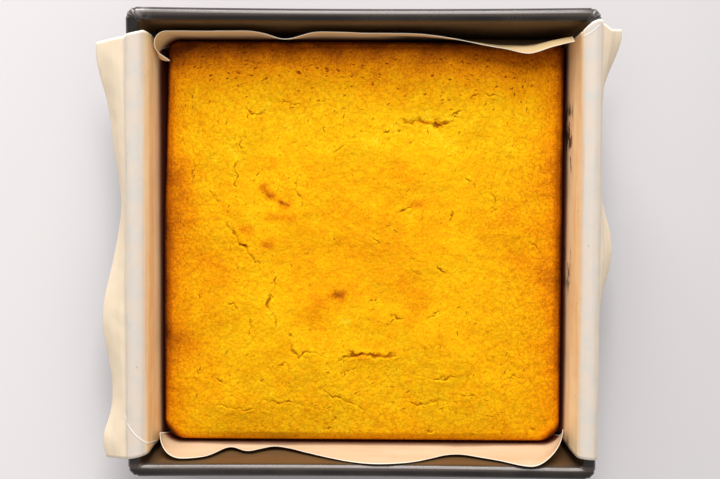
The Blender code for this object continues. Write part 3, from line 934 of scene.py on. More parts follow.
@dataclass
class AcrossStrip(PaperStrip):
    """Strip from left to right: under the bread, up both walls and over the rims as loose flaps."""

    name: str = "baking_paper_across"
    node: str = "paper_across"
    floor: float = 1.5 * MM
    floor_half: float = 88.5 * MM
    rim_width: float = 98.5 * MM
    rim_top: float = RIM_TOP
    flap_end: float = 34.0 * MM
    flap_steps: int = 3
    rim_points: int = 4
    skew_left: float = 4.6 * MM
    skew_right: float = 2.2 * MM
    flare_right: float = 4.5 * MM
    reach_left: float = 118.6 * MM
    reach_right: float = 110.6 * MM
    swings_left: tuple[Triple, ...] = (
        (90.0 * MM, 15.0 * MM, 7.0 * MM),
        (18.0 * MM, 16.0 * MM, -4.4 * MM),
        (-36.0 * MM, 15.0 * MM, 5.0 * MM),
        (-95.0 * MM, 9.0 * MM, 4.8 * MM),
    )
    swings_right: tuple[Triple, ...] = (
        (99.0 * MM, 14.0 * MM, 9.8 * MM),
        (-3.0 * MM, 15.0 * MM, 6.8 * MM),
    )
    sag: float = 0.35 * MM
    rim_half: float = 100.7 * MM
    folds: tuple[Fold, ...] = (
        Fold((-111.5 * MM, -80.5 * MM), (-97.5 * MM, -95.0 * MM)),
        Fold((100.5 * MM, 96.0 * MM), (108.0 * MM, 101.5 * MM), 0.40 * MM),
    )

    def path(self) -> tuple[Pair, ...]:
        """Line of the strip from the middle of the floor to just past the rim.

        Returns:
            Reach and height of its points.
        """
        return (
            (0.0, self.floor),
            (42.0 * MM, self.floor),
            (86.8 * MM, self.floor),
            (89.6 * MM, 2.4 * MM),
            (91.6 * MM, 4.9 * MM),
            (93.0 * MM, 9.0 * MM),
            (95.0 * MM, 19.0 * MM),
            (96.4 * MM, 29.0 * MM),
            (98.3 * MM, 40.0 * MM),
            (99.6 * MM, 46.7 * MM),
            (100.7 * MM, 49.8 * MM),
            (103.0 * MM, 51.6 * MM),
            (106.0 * MM, 52.0 * MM),
            (108.6 * MM, 50.6 * MM),
            (110.2 * MM, 47.4 * MM),
        )

    def edges(self, side: Side, height: float, overhang: float) -> Pair:
        """Places of the two long edges.

        Args:
            side: Which end of the strip.
            height: Height of the strip there.
            overhang: How far over the rim, from 0 on its inner side to 1 at the flap's end.

        Returns:
            Y of the near and of the far edge.
        """
        if overhang > 0.0:
            half = self.rim_width
        else:
            half = blend(self.floor_half, self.rim_width, min(height / self.rim_top, 1.0))
        if side is Side.LEFT:
            return -half - self.skew_left * overhang, half - self.skew_left * overhang
        flare = self.flare_right * math.sin(math.pi * min(overhang * 1.4, 1.0))
        return -half - self.skew_right * overhang, half + flare + self.skew_right * overhang

    def flap_reach(self, side: Side, y: float) -> float:
        """Reach of a flap's lower edge.

        Args:
            side: Which end of the strip.
            y: Place along the rim.

        Returns:
            The reach.
        """
        if side is Side.LEFT:
            return self.reach_left + bumps(y, self.swings_left)
        return self.reach_right + bumps(y, self.swings_right)

    def point(self, u: float, v: float) -> Vector:
        """Point of the strip.

        Args:
            u: Place along the strip, from -1 at the left flap's end to 1 at the right one's.
            v: Place over its width, from -1 at the near edge to 1 at the far one.

        Returns:
            The point.
        """
        side = Side.LEFT if u < 0.0 else Side.RIGHT
        path = self.path()
        last = len(path) - 1
        index = abs(u) * (last + self.flap_steps)
        rim_index = last - self.rim_points
        overhang = max(index - rim_index, 0.0) / (last + self.flap_steps - rim_index)
        reach, height = smooth_path(path, min(index, last))
        near, far = self.edges(side, height, overhang)
        y = blend(near, far, 0.5 + 0.5 * v)
        if index > last:
            share = (index - last) / self.flap_steps
            reach = blend(reach, self.flap_reach(side, y), share ** 0.85)
            height = blend(height, self.flap_end, share)
        loose = self.loose(index)
        wave = noise.noise(Vector((index * 0.9, y / (45.0 * MM), u)))
        crease = noise.noise(Vector((index * 2.6, y / (120.0 * MM), 3.0 + u)))
        fine = noise.noise(Vector((reach, y, height)) / (7.0 * MM))
        reach += loose * (self.sag * wave + self.sag * 0.6 * crease + self.ripple * 0.4 * fine)
        height += loose * overhang * self.ripple * fine
        return Vector((side.value * reach, y, height))

    def finish(self) -> bpy.types.Material:
        """Build the paper, pale on the rims and tan inside.

        Returns:
            The material.
        """
        paper = BakingPaper(
            "baking_paper_across",
            dry=colour(225, 209, 193),
            warm=colour(255, 230, 184),
            damp=colour(244, 196, 134),
            edge=colour(248, 227, 196),
            across=True,
            rim_half=self.rim_half,
            scorch=0.9,
            folds=self.folds,
        )
        return paper.material()


@dataclass(frozen=True)
class Curl:
    """How a side of the strip along the pan turns inwards, at one height.

    It runs straight to start, turns by bend at most on radius, and runs straight again until length.
    """

    start: float
    radius: float
    length: float
    bend: float = math.radians(100.0)

    def towards(self, other: "Curl", share: float) -> "Curl":
        """Curl a share of the way to another."""
        mine, others = astuple(self), astuple(other)
        return Curl(*(blend(start, end, share) for start, end in zip(mine, others)))

    def place(self, u: float) -> Pair:
        """Place on the curled strip.

        Args:
            u: Place over its width, from -1 at the left edge to 1 at the right one.

        Returns:
            The place's X, and how far the curl takes it inwards.
        """
        length = abs(u) * self.length
        past = max(length - self.start, 0.0)
        turn = min(past / self.radius, self.bend)
        past -= turn * self.radius
        x = min(length, self.start) + self.radius * math.sin(turn) + past * math.cos(turn)
        return math.copysign(x, u), self.radius * (1.0 - math.cos(turn)) + past * math.sin(turn)


LOW_CURL = Curl(86.8 * MM, 10.4 * MM, 96.5 * MM)


class Corner(Enum):
    """Corners of the strip along the pan, each with its curl low down and at the loose edge."""

    FAR_RIGHT = (
        Curl(96.0 * MM, 10.4 * MM, 95.0 * MM),
        Curl(98.0 * MM, 10.4 * MM, 97.4 * MM),
    )
    FAR_LEFT = (
        Curl(86.2 * MM, 10.0 * MM, 96.5 * MM),
        Curl(91.0 * MM, 5.8 * MM, 111.0 * MM, math.radians(145.0)),
    )
    NEAR_LEFT = (LOW_CURL, Curl(84.8 * MM, 10.4 * MM, 101.5 * MM))
    NEAR_RIGHT = (LOW_CURL, Curl(79.0 * MM, 15.0 * MM, 102.6 * MM))

    @classmethod
    def of(cls, u: float, far: bool) -> "Corner":
        """Choose a corner.

        Args:
            u: Place over the strip's width, from -1 at the left edge to 1 at the right one.
            far: Whether it is at the far end.

        Returns:
            The corner nearest to that place.
        """
        if far:
            return cls.FAR_RIGHT if u > 0.0 else cls.FAR_LEFT
        return cls.NEAR_RIGHT if u > 0.0 else cls.NEAR_LEFT


@dataclass
class AlongStrip(PaperStrip):
    """Strip from near to far: on the other strip, up both walls, ending in wavy loose edges."""

    name: str = "baking_paper_along"
    node: str = "paper_along"
    floor: float = 2.15 * MM
    edge_steps: int = 4
    edge_start: float = 29.0 * MM
    turn_top: float = 9.0 * MM
    far_height: float = 44.0 * MM
    far_reach: float = 98.6 * MM
    far_lift: float = 1.6 * MM
    lip_back: float = 1.2 * MM
    lip_over: float = 2.4 * MM
    far_ease: float = 0.6
    near_ease: float = 1.3
    near_height: float = 45.0 * MM
    near_lean_reach: float = 88.8 * MM
    near_lean: float = 0.262
    rim_half: float = 101.2 * MM
    half_low: float = 82.5 * MM
    half_turn: float = 88.0 * MM
    corner_trim: float = 4.0 * MM
    far_waves: tuple[Triple, ...] = (
        (-36.0 * MM, 6.5 * MM, -3.6 * MM),
        (5.0 * MM, 15.0 * MM, -0.8 * MM),
        (70.0 * MM, 21.0 * MM, -7.8 * MM),
        (77.5 * MM, 4.5 * MM, -1.3 * MM),
    )
    near_waves: tuple[Triple, ...] = (
        (-84.0 * MM, 7.0 * MM, 1.5 * MM),
        (-63.0 * MM, 5.0 * MM, -9.6 * MM),
        (-42.0 * MM, 9.5 * MM, -10.7 * MM),
        (-26.0 * MM, 9.0 * MM, -3.5 * MM),
        (9.0 * MM, 16.0 * MM, 5.6 * MM),
        (44.0 * MM, 9.0 * MM, -5.2 * MM),
        (79.0 * MM, 9.0 * MM, 6.6 * MM),
    )

    def path(self) -> tuple[Pair, ...]:
        """Line of the strip from the middle of the floor to where the loose edge begins.

        Returns:
            Reach and height of its points.
        """
        return (
            (0.0, self.floor),
            (43.0 * MM, self.floor),
            (87.2 * MM, self.floor),
            (89.8 * MM, 3.0 * MM),
            (91.7 * MM, 5.1 * MM),
            (93.0 * MM, 9.0 * MM),
            (94.8 * MM, 19.0 * MM),
            (96.3 * MM, self.edge_start),
        )

    def curl(self, corner: Corner, height: float, rise: float) -> Curl:
        """Curl of a corner at a height.

        Args:
            corner: Which corner.
            height: Height of the strip there.
            rise: How far up the loose edge, from 0 where it begins to 1 at its top.

        Returns:
            The curl.
        """
        low, high = corner.value
        here = low.towards(high, rise)
        if height <= self.turn_top:
            share = smooth_step((height - self.floor) / (self.turn_top - self.floor))
            length = blend(self.half_low, self.half_turn, share)
        else:
            share = min((height - self.turn_top) / (self.edge_start - self.turn_top), 1.0)
            length = blend(self.half_turn, here.length, share)
        return replace(here, length=length)

    def loose_edge(self, far: bool, x: float) -> Pair:
        """Where a loose edge ends.

        Args:
            far: Whether it is the far one.
            x: Place over the strip's width.

        Returns:
            Its reach and height.
        """
        if far:
            lift = self.far_lift * smooth_step((x - 66.0 * MM) / (22.0 * MM))
            return self.far_reach + bumps(x, self.far_waves), self.far_height + lift
        height = self.near_height + bumps(x, self.near_waves)
        return self.near_lean_reach + self.near_lean * height, height

    def lip(self, x: float, rise: float) -> float:
        """How far the far edge's lip stands out towards its right end: back at first, then over.

        Args:
            x: Place over the strip's width.
            rise: How far up the loose edge, from 0 where it begins to 1 at its top.

        Returns:
            What it adds to the reach.
        """
        back = self.lip_back * min(rise / 0.75, 1.0)
        over = self.lip_over * max(rise - 0.75, 0.0) / 0.25
        return smooth_step((x - 62.0 * MM) / (16.0 * MM)) * (back - over)

    def point(self, u: float, v: float) -> Vector:
        """Point of the strip.

        Args:
            u: Place over its width, from -1 at the left edge to 1 at the right one.
            v: Place along it, from -1 at the near edge to 1 at the far one.

        Returns:
            The point.
        """
        far = v > 0.0
        path = self.path()
        last = len(path) - 1
        index = abs(v) * (last + self.edge_steps)
        reach, height = smooth_path(path, min(index, last))
        rise = max(index - last, 0.0) / self.edge_steps
        x, inwards = self.curl(Corner.of(u, far), height, rise).place(u)
        edge_reach, edge_height = self.loose_edge(far, x)
        height = blend(height, edge_height, rise)
        if far:
            reach = blend(reach, edge_reach, rise ** self.far_ease) + self.lip(x, rise)
        else:
            reach = blend(reach, edge_reach, rise ** self.near_ease)
        reach -= inwards
        if u < 0.0:
            height -= self.corner_trim * rise * smooth_step((abs(u) - 0.88) / 0.12)
        fine = noise.noise(Vector((x, reach, height)) / (6.0 * MM))
        wave = noise.noise(Vector((x / (22.0 * MM), v * 2.0, 5.0)))
        reach += self.loose(index) * self.ripple * (0.5 * fine + 0.8 * wave)
        height += rise * self.ripple * 2.0 * wave
        return Vector((x, reach if far else -reach, height))

    def finish(self) -> bpy.types.Material:
        """Build the paper, warm all over.

        Returns:
            The material.
        """
        paper = BakingPaper(
            "baking_paper_along",
            dry=colour(246, 226, 204),
            warm=colour(255, 228, 172),
            damp=colour(250, 212, 152),
            edge=colour(246, 226, 204),
            across=False,
            rim_half=self.rim_half,
        )
        return paper.material()


def nearest_on(places: tuple[Pair, ...], x: np.ndarray, y: np.ndarray) -> tuple[np.ndarray, np.ndarray]:
    """Nearest places on a line in plan.

    Args:
        places: The places that the line runs through.
        x: X of the points that are asked about.
        y: Y of the points.

    Returns:
        Each point's distance from the line, and the share along it of the place nearest to the point.
    """
    best = np.full(x.shape, np.inf)
    share = np.zeros(x.shape)
    runs = len(places) - 1
    for index, ((x0, y0), (x1, y1)) in enumerate(zip(places, places[1:])):
        dx, dy = x1 - x0, y1 - y0
        along = np.clip(((x - x0) * dx + (y - y0) * dy) / (dx * dx + dy * dy), 0.0, 1.0)
        distance = np.hypot(x - x0 - along * dx, y - y0 - along * dy)
        closer = distance < best
        best = np.where(closer, distance, best)
        share = np.where(closer, (index + along) / runs, share)
    return best, share


@dataclass(frozen=True)
class Crack:
    """Crack in the crust: half-width, depth and the places that it runs through, in millimetres."""

    half_width: float
    depth: float
    places: tuple[Pair, ...]

    def nearest(self, x: np.ndarray, y: np.ndarray) -> tuple[np.ndarray, np.ndarray]:
        """Distance from places to the crack, and the share along it where each is nearest."""
        return nearest_on(self.places, x, y)


@dataclass(frozen=True)
class Spot:
    """Browner or paler spot on the crust: two ends, radius and amount, in millimetres."""

    start: Pair
    end: Pair
    radius: float
    amount: float

    def tone(self, x: np.ndarray, y: np.ndarray) -> np.ndarray:
        """What the spot adds to the browning at places."""
        distance, _ = nearest_on((self.start, self.end), x, y)
        return self.amount * np.exp(-((distance / self.radius) ** 2))


@dataclass(frozen=True)
class FadingTone:
    """Browning that fades with distance from something: amount, how far it reaches and its falloff."""

    amount: float
    reach: float
    falloff: float

    def tone(self, distance: np.ndarray) -> np.ndarray:
        """Browning at distances from what it belongs to, such as a side of the loaf."""
        return self.amount * np.exp(-((np.maximum(distance, 0.0) / self.reach) ** self.falloff))


CRACKS = (
    Crack(0.85, 1.3, ((17.3, 57.6), (21.7, 56.7), (25.2, 57.5), (27.0, 58.0), (29.0, 56.8))),
    Crack(0.90, 1.3, ((27.4, 56.8), (33.0, 55.3), (36.6, 55.9), (42.0, 56.9))),
    Crack(0.30, 0.7, ((28.6, 57.5), (34.6, 57.4), (40.6, 57.6))),
    Crack(0.42, 1.0, ((40.7, 58.7), (43.4, 61.0), (47.0, 62.5))),
    Crack(0.36, 0.8, ((49.7, 66.6), (51.7, 69.2), (57.0, 70.4))),
    Crack(0.35, 0.8, ((56.0, 70.6), (60.0, 69.6), (65.3, 68.9))),
    Crack(
        0.90, 1.5, ((-11.0, -55.4), (-6.4, -53.9), (-3.6, -52.9), (1.5, -52.5), (6.9, -54.2), (16.5, -52.4))
    ),
    Crack(0.30, 0.7, ((-6.6, -50.7), (-4.3, -52.3))),
    Crack(0.34, 0.8, ((-8.3, -61.5), (-5.2, -59.7), (-1.8, -58.2))),
    Crack(
        0.55, 1.6, ((-63.4, 9.3), (-60.6, 3.7), (-57.3, -0.6), (-54.0, -2.6), (-52.2, -7.0), (-50.6, -10.6))
    ),
    Crack(0.45, 1.1, ((-41.0, -15.6), (-41.6, -19.0), (-41.2, -23.2))),
    Crack(0.78, 1.5, ((-43.2, -24.6), (-44.4, -28.0), (-44.1, -32.6))),
    Crack(0.40, 1.0, ((-41.4, -33.1), (-40.6, -36.4), (-40.8, -40.4))),
    Crack(0.40, 0.9, ((-55.4, 62.4), (-52.5, 60.6), (-49.5, 60.4), (-45.5, 61.3))),
    Crack(0.32, 0.7, ((-38.9, 66.7), (-35.0, 65.6), (-29.1, 65.1))),
    Crack(0.32, 0.7, ((-57.7, 49.8), (-58.1, 46.0), (-57.4, 42.2))),
    Crack(0.42, 1.0, ((-58.6, 39.2), (-60.2, 34.5), (-59.4, 29.0), (-59.8, 23.4))),
    Crack(0.32, 0.7, ((-79.8, 38.9), (-80.4, 33.0), (-79.6, 24.8))),
    Crack(0.35, 0.7, ((-72.4, 24.2), (-70.0, 21.0), (-67.2, 17.6))),
    Crack(0.32, 0.7, ((-13.4, 42.0), (-9.0, 45.4), (-6.4, 47.8))),
    Crack(0.35, 0.8, ((-5.2, 49.6), (-2.3, 50.9))),
    Crack(0.32, 0.8, ((-32.0, 31.2), (-31.2, 24.6), (-28.8, 20.0), (-27.6, 15.6))),
    Crack(
        0.50,
        1.1,
        ((-34.8, -47.2), (-32.0, -51.6), (-29.4, -54.6), (-28.2, -52.0), (-24.0, -51.4), (-20.4, -52.4)),
    ),
    Crack(0.32, 0.7, ((-36.6, -39.6), (-34.6, -43.6), (-33.4, -46.0))),
    Crack(0.45, 0.9, ((-63.6, -29.0), (-60.6, -28.4), (-59.2, -31.6))),
    Crack(0.40, 0.8, ((-52.8, -36.6), (-52.2, -40.4), (-53.4, -43.4))),
    Crack(0.40, 0.8, ((-40.6, -57.6), (-37.4, -58.2), (-36.0, -56.8))),
    Crack(0.36, 0.8, ((-72.0, -63.4), (-68.6, -64.8), (-65.0, -67.2), (-62.2, -68.4))),
    Crack(0.34, 0.7, ((-84.0, -66.0), (-80.6, -64.6), (-78.0, -65.4))),
    Crack(0.38, 0.8, ((-68.6, -77.0), (-62.0, -78.6), (-55.0, -79.8), (-51.2, -78.6))),
    Crack(0.34, 0.7, ((-47.2, -75.4), (-41.0, -76.2), (-35.0, -75.6), (-27.0, -77.4))),
    Crack(0.38, 0.8, ((-19.9, -69.2), (-14.6, -71.6), (-9.4, -74.4), (-3.4, -76.0), (2.4, -80.2))),
    Crack(0.36, 0.8, ((30.4, -63.6), (35.4, -64.8), (39.6, -64.0), (44.6, -62.4))),
    Crack(0.32, 0.7, ((21.0, -75.0), (26.6, -76.8), (32.6, -75.2), (40.0, -74.8))),
    Crack(0.34, 0.8, ((47.0, -72.8), (50.6, -72.0), (54.0, -72.2))),
    Crack(0.36, 0.8, ((69.1, -63.9), (72.6, -63.2), (76.4, -64.2))),
    Crack(0.45, 0.9, ((16.0, 14.6), (19.4, 15.6), (22.6, 17.8))),
    Crack(0.40, 0.8, ((60.0, 24.6), (62.0, 19.6), (61.4, 14.6))),
    Crack(0.34, 0.7, ((41.6, 16.4), (42.4, 12.6), (41.2, 9.6))),
    Crack(0.40, 0.8, ((48.4, 31.8), (50.8, 29.2))),
    Crack(0.34, 0.7, ((22.8, -12.0), (25.4, -14.0), (27.1, -14.9))),
    Crack(0.42, 0.9, ((34.8, -9.4), (37.4, -12.8), (38.8, -13.6))),
    Crack(0.36, 0.8, ((12.6, -33.6), (15.6, -35.0), (19.6, -35.6))),
    Crack(0.38, 0.8, ((30.6, -35.6), (34.0, -33.2), (37.8, -31.2))),
    Crack(0.42, 0.8, ((77.6, 0.6), (80.0, -0.6), (82.0, -2.2))),
    Crack(0.34, 0.7, ((-13.8, 4.6), (-12.6, 0.8), (-11.2, -1.2))),
    Crack(0.34, 0.7, ((4.2, 5.4), (6.4, 1.8), (8.6, -1.0))),
)

# Pits in the crust: X, Y and radius, in millimetres.
PITS = (
    (-52.5, 78.3, 1.1), (-45.5, 77.4, 1.2), (-39.9, 78.3, 0.9), (-29.6, 80.2, 1.3),
    (-26.0, 81.2, 1.0), (-17.0, 82.1, 1.3), (-11.8, 81.4, 1.1), (11.2, 52.8, 1.1),
    (14.6, 51.8, 0.8), (16.9, 52.9, 0.8), (28.9, 69.7, 1.0), (3.6, -26.7, 0.9),
    (6.5, -26.7, 0.9), (-15.1, -88.4, 1.0), (-13.2, -83.1, 0.9), (81.2, -87.7, 1.0),
    (32.4, -89.9, 1.2), (66.0, 78.6, 1.0), (4.2, 74.6, 0.9), (46.0, 84.4, 1.0),
)

SPOTS = (
    Spot((24.5, 57.2), (40.5, 56.8), 0.9, 0.32),
    Spot((-3.0, -53.2), (14.0, -53.3), 0.9, 0.34),
    Spot((-46.9, 26.6), (-44.6, 23.0), 1.9, 0.46),
    Spot((-43.6, 22.4), (-38.8, 19.6), 1.8, 0.30),
    Spot((-38.2, 19.2), (-35.6, 17.6), 1.5, 0.48),
    Spot((-43.1, 38.1), (-42.6, 37.0), 2.6, 0.28),
    Spot((-56.6, 6.2), (-53.6, 6.0), 2.0, 0.34),
    Spot((-46.0, 11.8), (-33.2, 12.4), 2.0, 0.26),
    Spot((-45.6, -0.6), (-43.2, -1.2), 1.9, 0.40),
    Spot((-12.0, -24.0), (-9.2, -24.6), 2.3, 0.50),
    Spot((23.6, 19.0), (27.6, 19.2), 2.2, 0.30),
    Spot((-24.0, -30.0), (-19.0, -27.0), 6.5, 0.16),
    Spot((-29.0, -36.0), (-24.0, -38.0), 5.0, 0.12),
    Spot((22.0, -18.0), (28.0, -28.0), 6.0, 0.15),
    Spot((17.0, 34.0), (24.0, 31.0), 5.0, 0.14),
    Spot((-76.0, -6.0), (-66.0, -16.0), 6.5, 0.17),
    Spot((74.0, -8.0), (88.0, -18.0), 7.0, 0.16),
    Spot((-86.0, -46.0), (-76.0, -56.0), 7.0, 0.16),
    Spot((-86.0, 30.0), (-82.0, 12.0), 6.0, 0.16),
    Spot((60.0, 4.0), (76.0, 26.0), 7.0, 0.12),
    Spot((-8.6, -36.8), (-8.0, -36.4), 2.2, -0.30),
    Spot((-52.0, 12.0), (-44.0, 16.0), 5.0, -0.08),
    Spot((8.0, -29.0), (10.0, -30.0), 2.2, -0.08),
    Spot((30.0, 60.0), (38.0, 60.5), 2.6, -0.05),
    Spot((85.0, 86.0), (91.0, 88.0), 6.0, -0.10),
)


@dataclass
class Cornbread(Piece):
    """The uncut loaf: domed crust with swells, cracks and pits, brown sides darkened further with painted
    shade, and a flat base.
    """

    name: str = "golden_cornbread"
    node: str = "cornbread"
    slot: str = "cornbread_crust"
    half_x: float = 94.6 * MM
    half_y: float = 94.9 * MM
    near_corner: float = 10.0 * MM
    far_corner: float = 5.0 * MM
    far_left_shrink: float = 2.6 * MM
    edge_height: float = BREAD_EDGE
    middle_height: float = 38.4 * MM
    floor: float = 2.65 * MM
    top_inset: float = 4.0 * MM
    grid: int = 196
    swell_size: float = 34.0 * MM
    swell_height: float = 1.2 * MM
    lump_size: float = 12.0 * MM
    lump_height: float = 0.5 * MM
    crumb_size: float = 3.2 * MM
    crumb_height: float = 0.16 * MM
    side_bumps: float = 0.12 * MM
    crack_wander: float = 1.5
    crack_share: float = 0.65
    left_tone: FadingTone = FadingTone(0.52, 8.5 * MM, 1.2)
    right_tone: FadingTone = FadingTone(0.50, 8.5 * MM, 1.2)
    near_tone: FadingTone = FadingTone(0.13, 2.6 * MM, 1.0)
    far_browning_and_shadow: FadingTone = FadingTone(0.68, 16.0 * MM, 1.5)
    wide_side_tone: FadingTone = FadingTone(0.16, 17.0 * MM, 1.0)
    wide_end_tone: FadingTone = FadingTone(0.04, 13.0 * MM, 1.0)
    middle_tone: FadingTone = FadingTone(0.16, 40.0 * MM, 2.0)
    pale_band: FadingTone = FadingTone(-0.09, 17.0 * MM, 2.0)
    pale_band_y: float = 54.0 * MM
    crust: BakedCrust = field(default_factory=BakedCrust)

    def side(self) -> tuple[Pair, ...]:
        """Line of the sides from the crust's border to the base.

        Returns:
            Inset and height of each ring.
        """
        return (
            (2.9 * MM, 33.1 * MM),
            (1.9 * MM, 32.5 * MM),
            (1.1 * MM, 31.7 * MM),
            (0.5 * MM, 30.6 * MM),
            (0.1 * MM, 29.2 * MM),
            (0.0, 27.6 * MM),
            (0.5 * MM, 21.5 * MM),
            (1.6 * MM, 15.0 * MM),
            (3.0 * MM, 9.0 * MM),
            (4.8 * MM, 5.2 * MM),
            (8.2 * MM, self.floor),
        )

    def plan(
        self, verts: list[bmesh.types.BMVert], unit: Layer, inset: float
    ) -> tuple[np.ndarray, np.ndarray]:
        """Places in plan of some points of the unit square, on the loaf's round-cornered outline.

        Args:
            verts: The points.
            unit: Layer that holds their places on the unit square.
            inset: How far the outline is drawn in.

        Returns:
            X and Y of each.
        """
        u = np.array([vert[unit].x for vert in verts])
        v = np.array([vert[unit].y for vert in verts])
        ring = np.maximum(np.abs(u), np.abs(v))
        safe = np.maximum(ring, 1e-12)
        corner = np.where(v > 0.0, self.far_corner, self.near_corner) / self.half_x
        straight = 1.0 - corner
        length = np.minimum(np.abs(u), np.abs(v)) / safe * (straight + corner * math.pi / 4.0)
        angle = np.maximum(length - straight, 0.0) / corner
        major = straight + corner * np.cos(angle)
        minor = np.where(length <= straight, length, straight + corner * np.sin(angle))
        wide = np.abs(u) >= np.abs(v)
        x = np.where(wide, major, minor) * np.sign(u) * ring
        y = np.where(wide, minor, major) * np.sign(v) * ring
        shrink = self.far_left_shrink * np.maximum(-x, 0.0) * np.maximum(y, 0.0)
        return x * (self.half_x - inset) + shrink, y * (self.half_y - inset)

    @staticmethod
    def drawn(x: np.ndarray, y: np.ndarray, size: float, layer: float, octaves: int = 1) -> np.ndarray:
        """Noise about zero.

        Args:
            x: X of each place.
            y: Y of each place.
            size: Size of its bumps.
            layer: Which of many patterns.
            octaves: How many sizes of bumps, each about half the last.

        Returns:
            The noise at each place.
        """
        found = np.empty(len(x))
        for index in range(len(x)):
            place = Vector((x[index] / size, y[index] / size, layer))
            found[index] = noise.noise(place) if octaves == 1 else noise.fractal(place, 0.7, 2.1, octaves)
        return found

    def wandered(self, x: np.ndarray, y: np.ndarray) -> tuple[np.ndarray, np.ndarray]:
        """Shift places a little at random, so that lines through them are ragged.

        Args:
            x: X of each place.
            y: Y of each place.

        Returns:
            X and Y of the shifted places, in millimetres.
        """
        shift_x = self.drawn(x, y, 3.2 * MM, 7.3) + 0.45 * self.drawn(x, y, 1.2 * MM, 3.7)
        shift_y = self.drawn(x, y, 3.2 * MM, 9.1) + 0.45 * self.drawn(x, y, 1.2 * MM, 5.9)
        return x / MM + shift_x * self.crack_wander, y / MM + shift_y * self.crack_wander

    def refine(self, builder: bmesh.types.BMesh, unit: Layer) -> None:
        """Split the crust's squares twice along the cracks and round the pits.

        Args:
            builder: The mesh.
            unit: Layer that holds places on the unit square.
        """
        for margin in (1.9, 1.2):
            verts = list(builder.verts)
            x, y = (part / MM for part in self.plan(verts, unit, self.top_inset))
            near = np.zeros(len(verts), bool)
            for crack in CRACKS:
                near |= crack.nearest(x, y)[0] < crack.half_width + margin
            for pit_x, pit_y, radius in PITS:
                near |= np.hypot(x - pit_x, y - pit_y) < radius + 0.5
            chosen = {vert for vert, wanted in zip(verts, near) if wanted}
            edges = [edge for edge in builder.edges if edge.verts[0] in chosen and edge.verts[1] in chosen]
            bmesh.ops.subdivide_edges(builder, edges=edges, cuts=1, use_grid_fill=True)

    def dome(self, x: np.ndarray, y: np.ndarray) -> np.ndarray:
        """Height of the crust, with its swells, lumps and crumb but without cracks.

        Args:
            x: X of each place.
            y: Y of each place.

        Returns:
            The height of each place.
        """
        across, along = np.abs(x) / self.half_x, np.abs(y) / self.half_y
        fall = 0.15 * (across ** 2 + along ** 2) + 0.70 * (across ** 6 + along ** 6) ** 0.8
        height = self.middle_height - (self.middle_height - self.edge_height) * np.minimum(fall, 1.1)
        fade = 1.0 - np.maximum(across, along) ** 8
        height += fade * self.swell_height * self.drawn(x, y, self.swell_size, 0.0)
        height += fade * self.lump_height * self.drawn(x, y, self.lump_size, 0.1)
        return height + self.crumb_height * self.drawn(x, y, self.crumb_size, 2.0, 3)

    def relief(self, x: np.ndarray, y: np.ndarray) -> tuple[np.ndarray, np.ndarray]:
        """Cut the cracks and pits into the dome.

        Args:
            x: X of each place.
            y: Y of each place.

        Returns:
            Height of each place, and how deep in a crack or pit it is, from 0 to 1.
        """
        ragged_x, ragged_y = self.wandered(x, y)
        depth = np.zeros(len(x))
        mask = np.zeros(len(x))
        lip = np.zeros(len(x))
        broken = np.clip(0.68 + 0.95 * self.drawn(x, y, 2.4 * MM, 11.7), 0.30, 1.0)
        for crack in CRACKS:
            distance, share = crack.nearest(ragged_x, ragged_y)
            taper = np.sin(math.pi * (0.10 + 0.80 * share)) * broken
            width = crack.half_width * (0.50 + 0.68 * taper)
            groove = np.exp(-((distance / width) ** 2.4))
            depth = np.maximum(depth, self.crack_share * crack.depth * taper * groove)
            mask = np.maximum(mask, groove * (0.20 + 0.80 * taper) * min(1.0, 0.45 + crack.half_width))
            lip = np.maximum(lip, 0.22 * crack.depth * taper * np.exp(-(((distance - 1.7) / 1.0) ** 2)))
        for pit_x, pit_y, radius in PITS:
            hole = np.exp(-((np.hypot((ragged_x - pit_x) * 0.7, ragged_y - pit_y) / (0.55 * radius)) ** 3))
            depth = np.maximum(depth, 0.8 * radius * hole)
            mask = np.maximum(mask, 0.8 * hole)
        return self.dome(x, y) + (lip - depth) * MM, mask

    def corner_browning_and_shade(self, beside: np.ndarray, near: np.ndarray) -> np.ndarray:
        """Browning of a thin line along the sides, wider and darker round the near corners, where it is
        partly painted shade.

        Args:
            beside: Distance of each place from the nearer of the left and right side.
            near: Its distance from the near side.

        Returns:
            The browning.
        """
        round_x = np.maximum(self.near_corner - beside, 0.0)
        round_y = np.maximum(self.near_corner - near, 0.0)
        inward = np.maximum(self.near_corner - np.hypot(round_x, round_y), 0.0)
        bend = np.clip(2.0 * np.minimum(round_x, round_y) / self.near_corner, 0.0, 1.0)
        return (0.22 + 0.60 * bend) * np.exp(-inward / ((1.6 + 1.6 * bend) * MM))

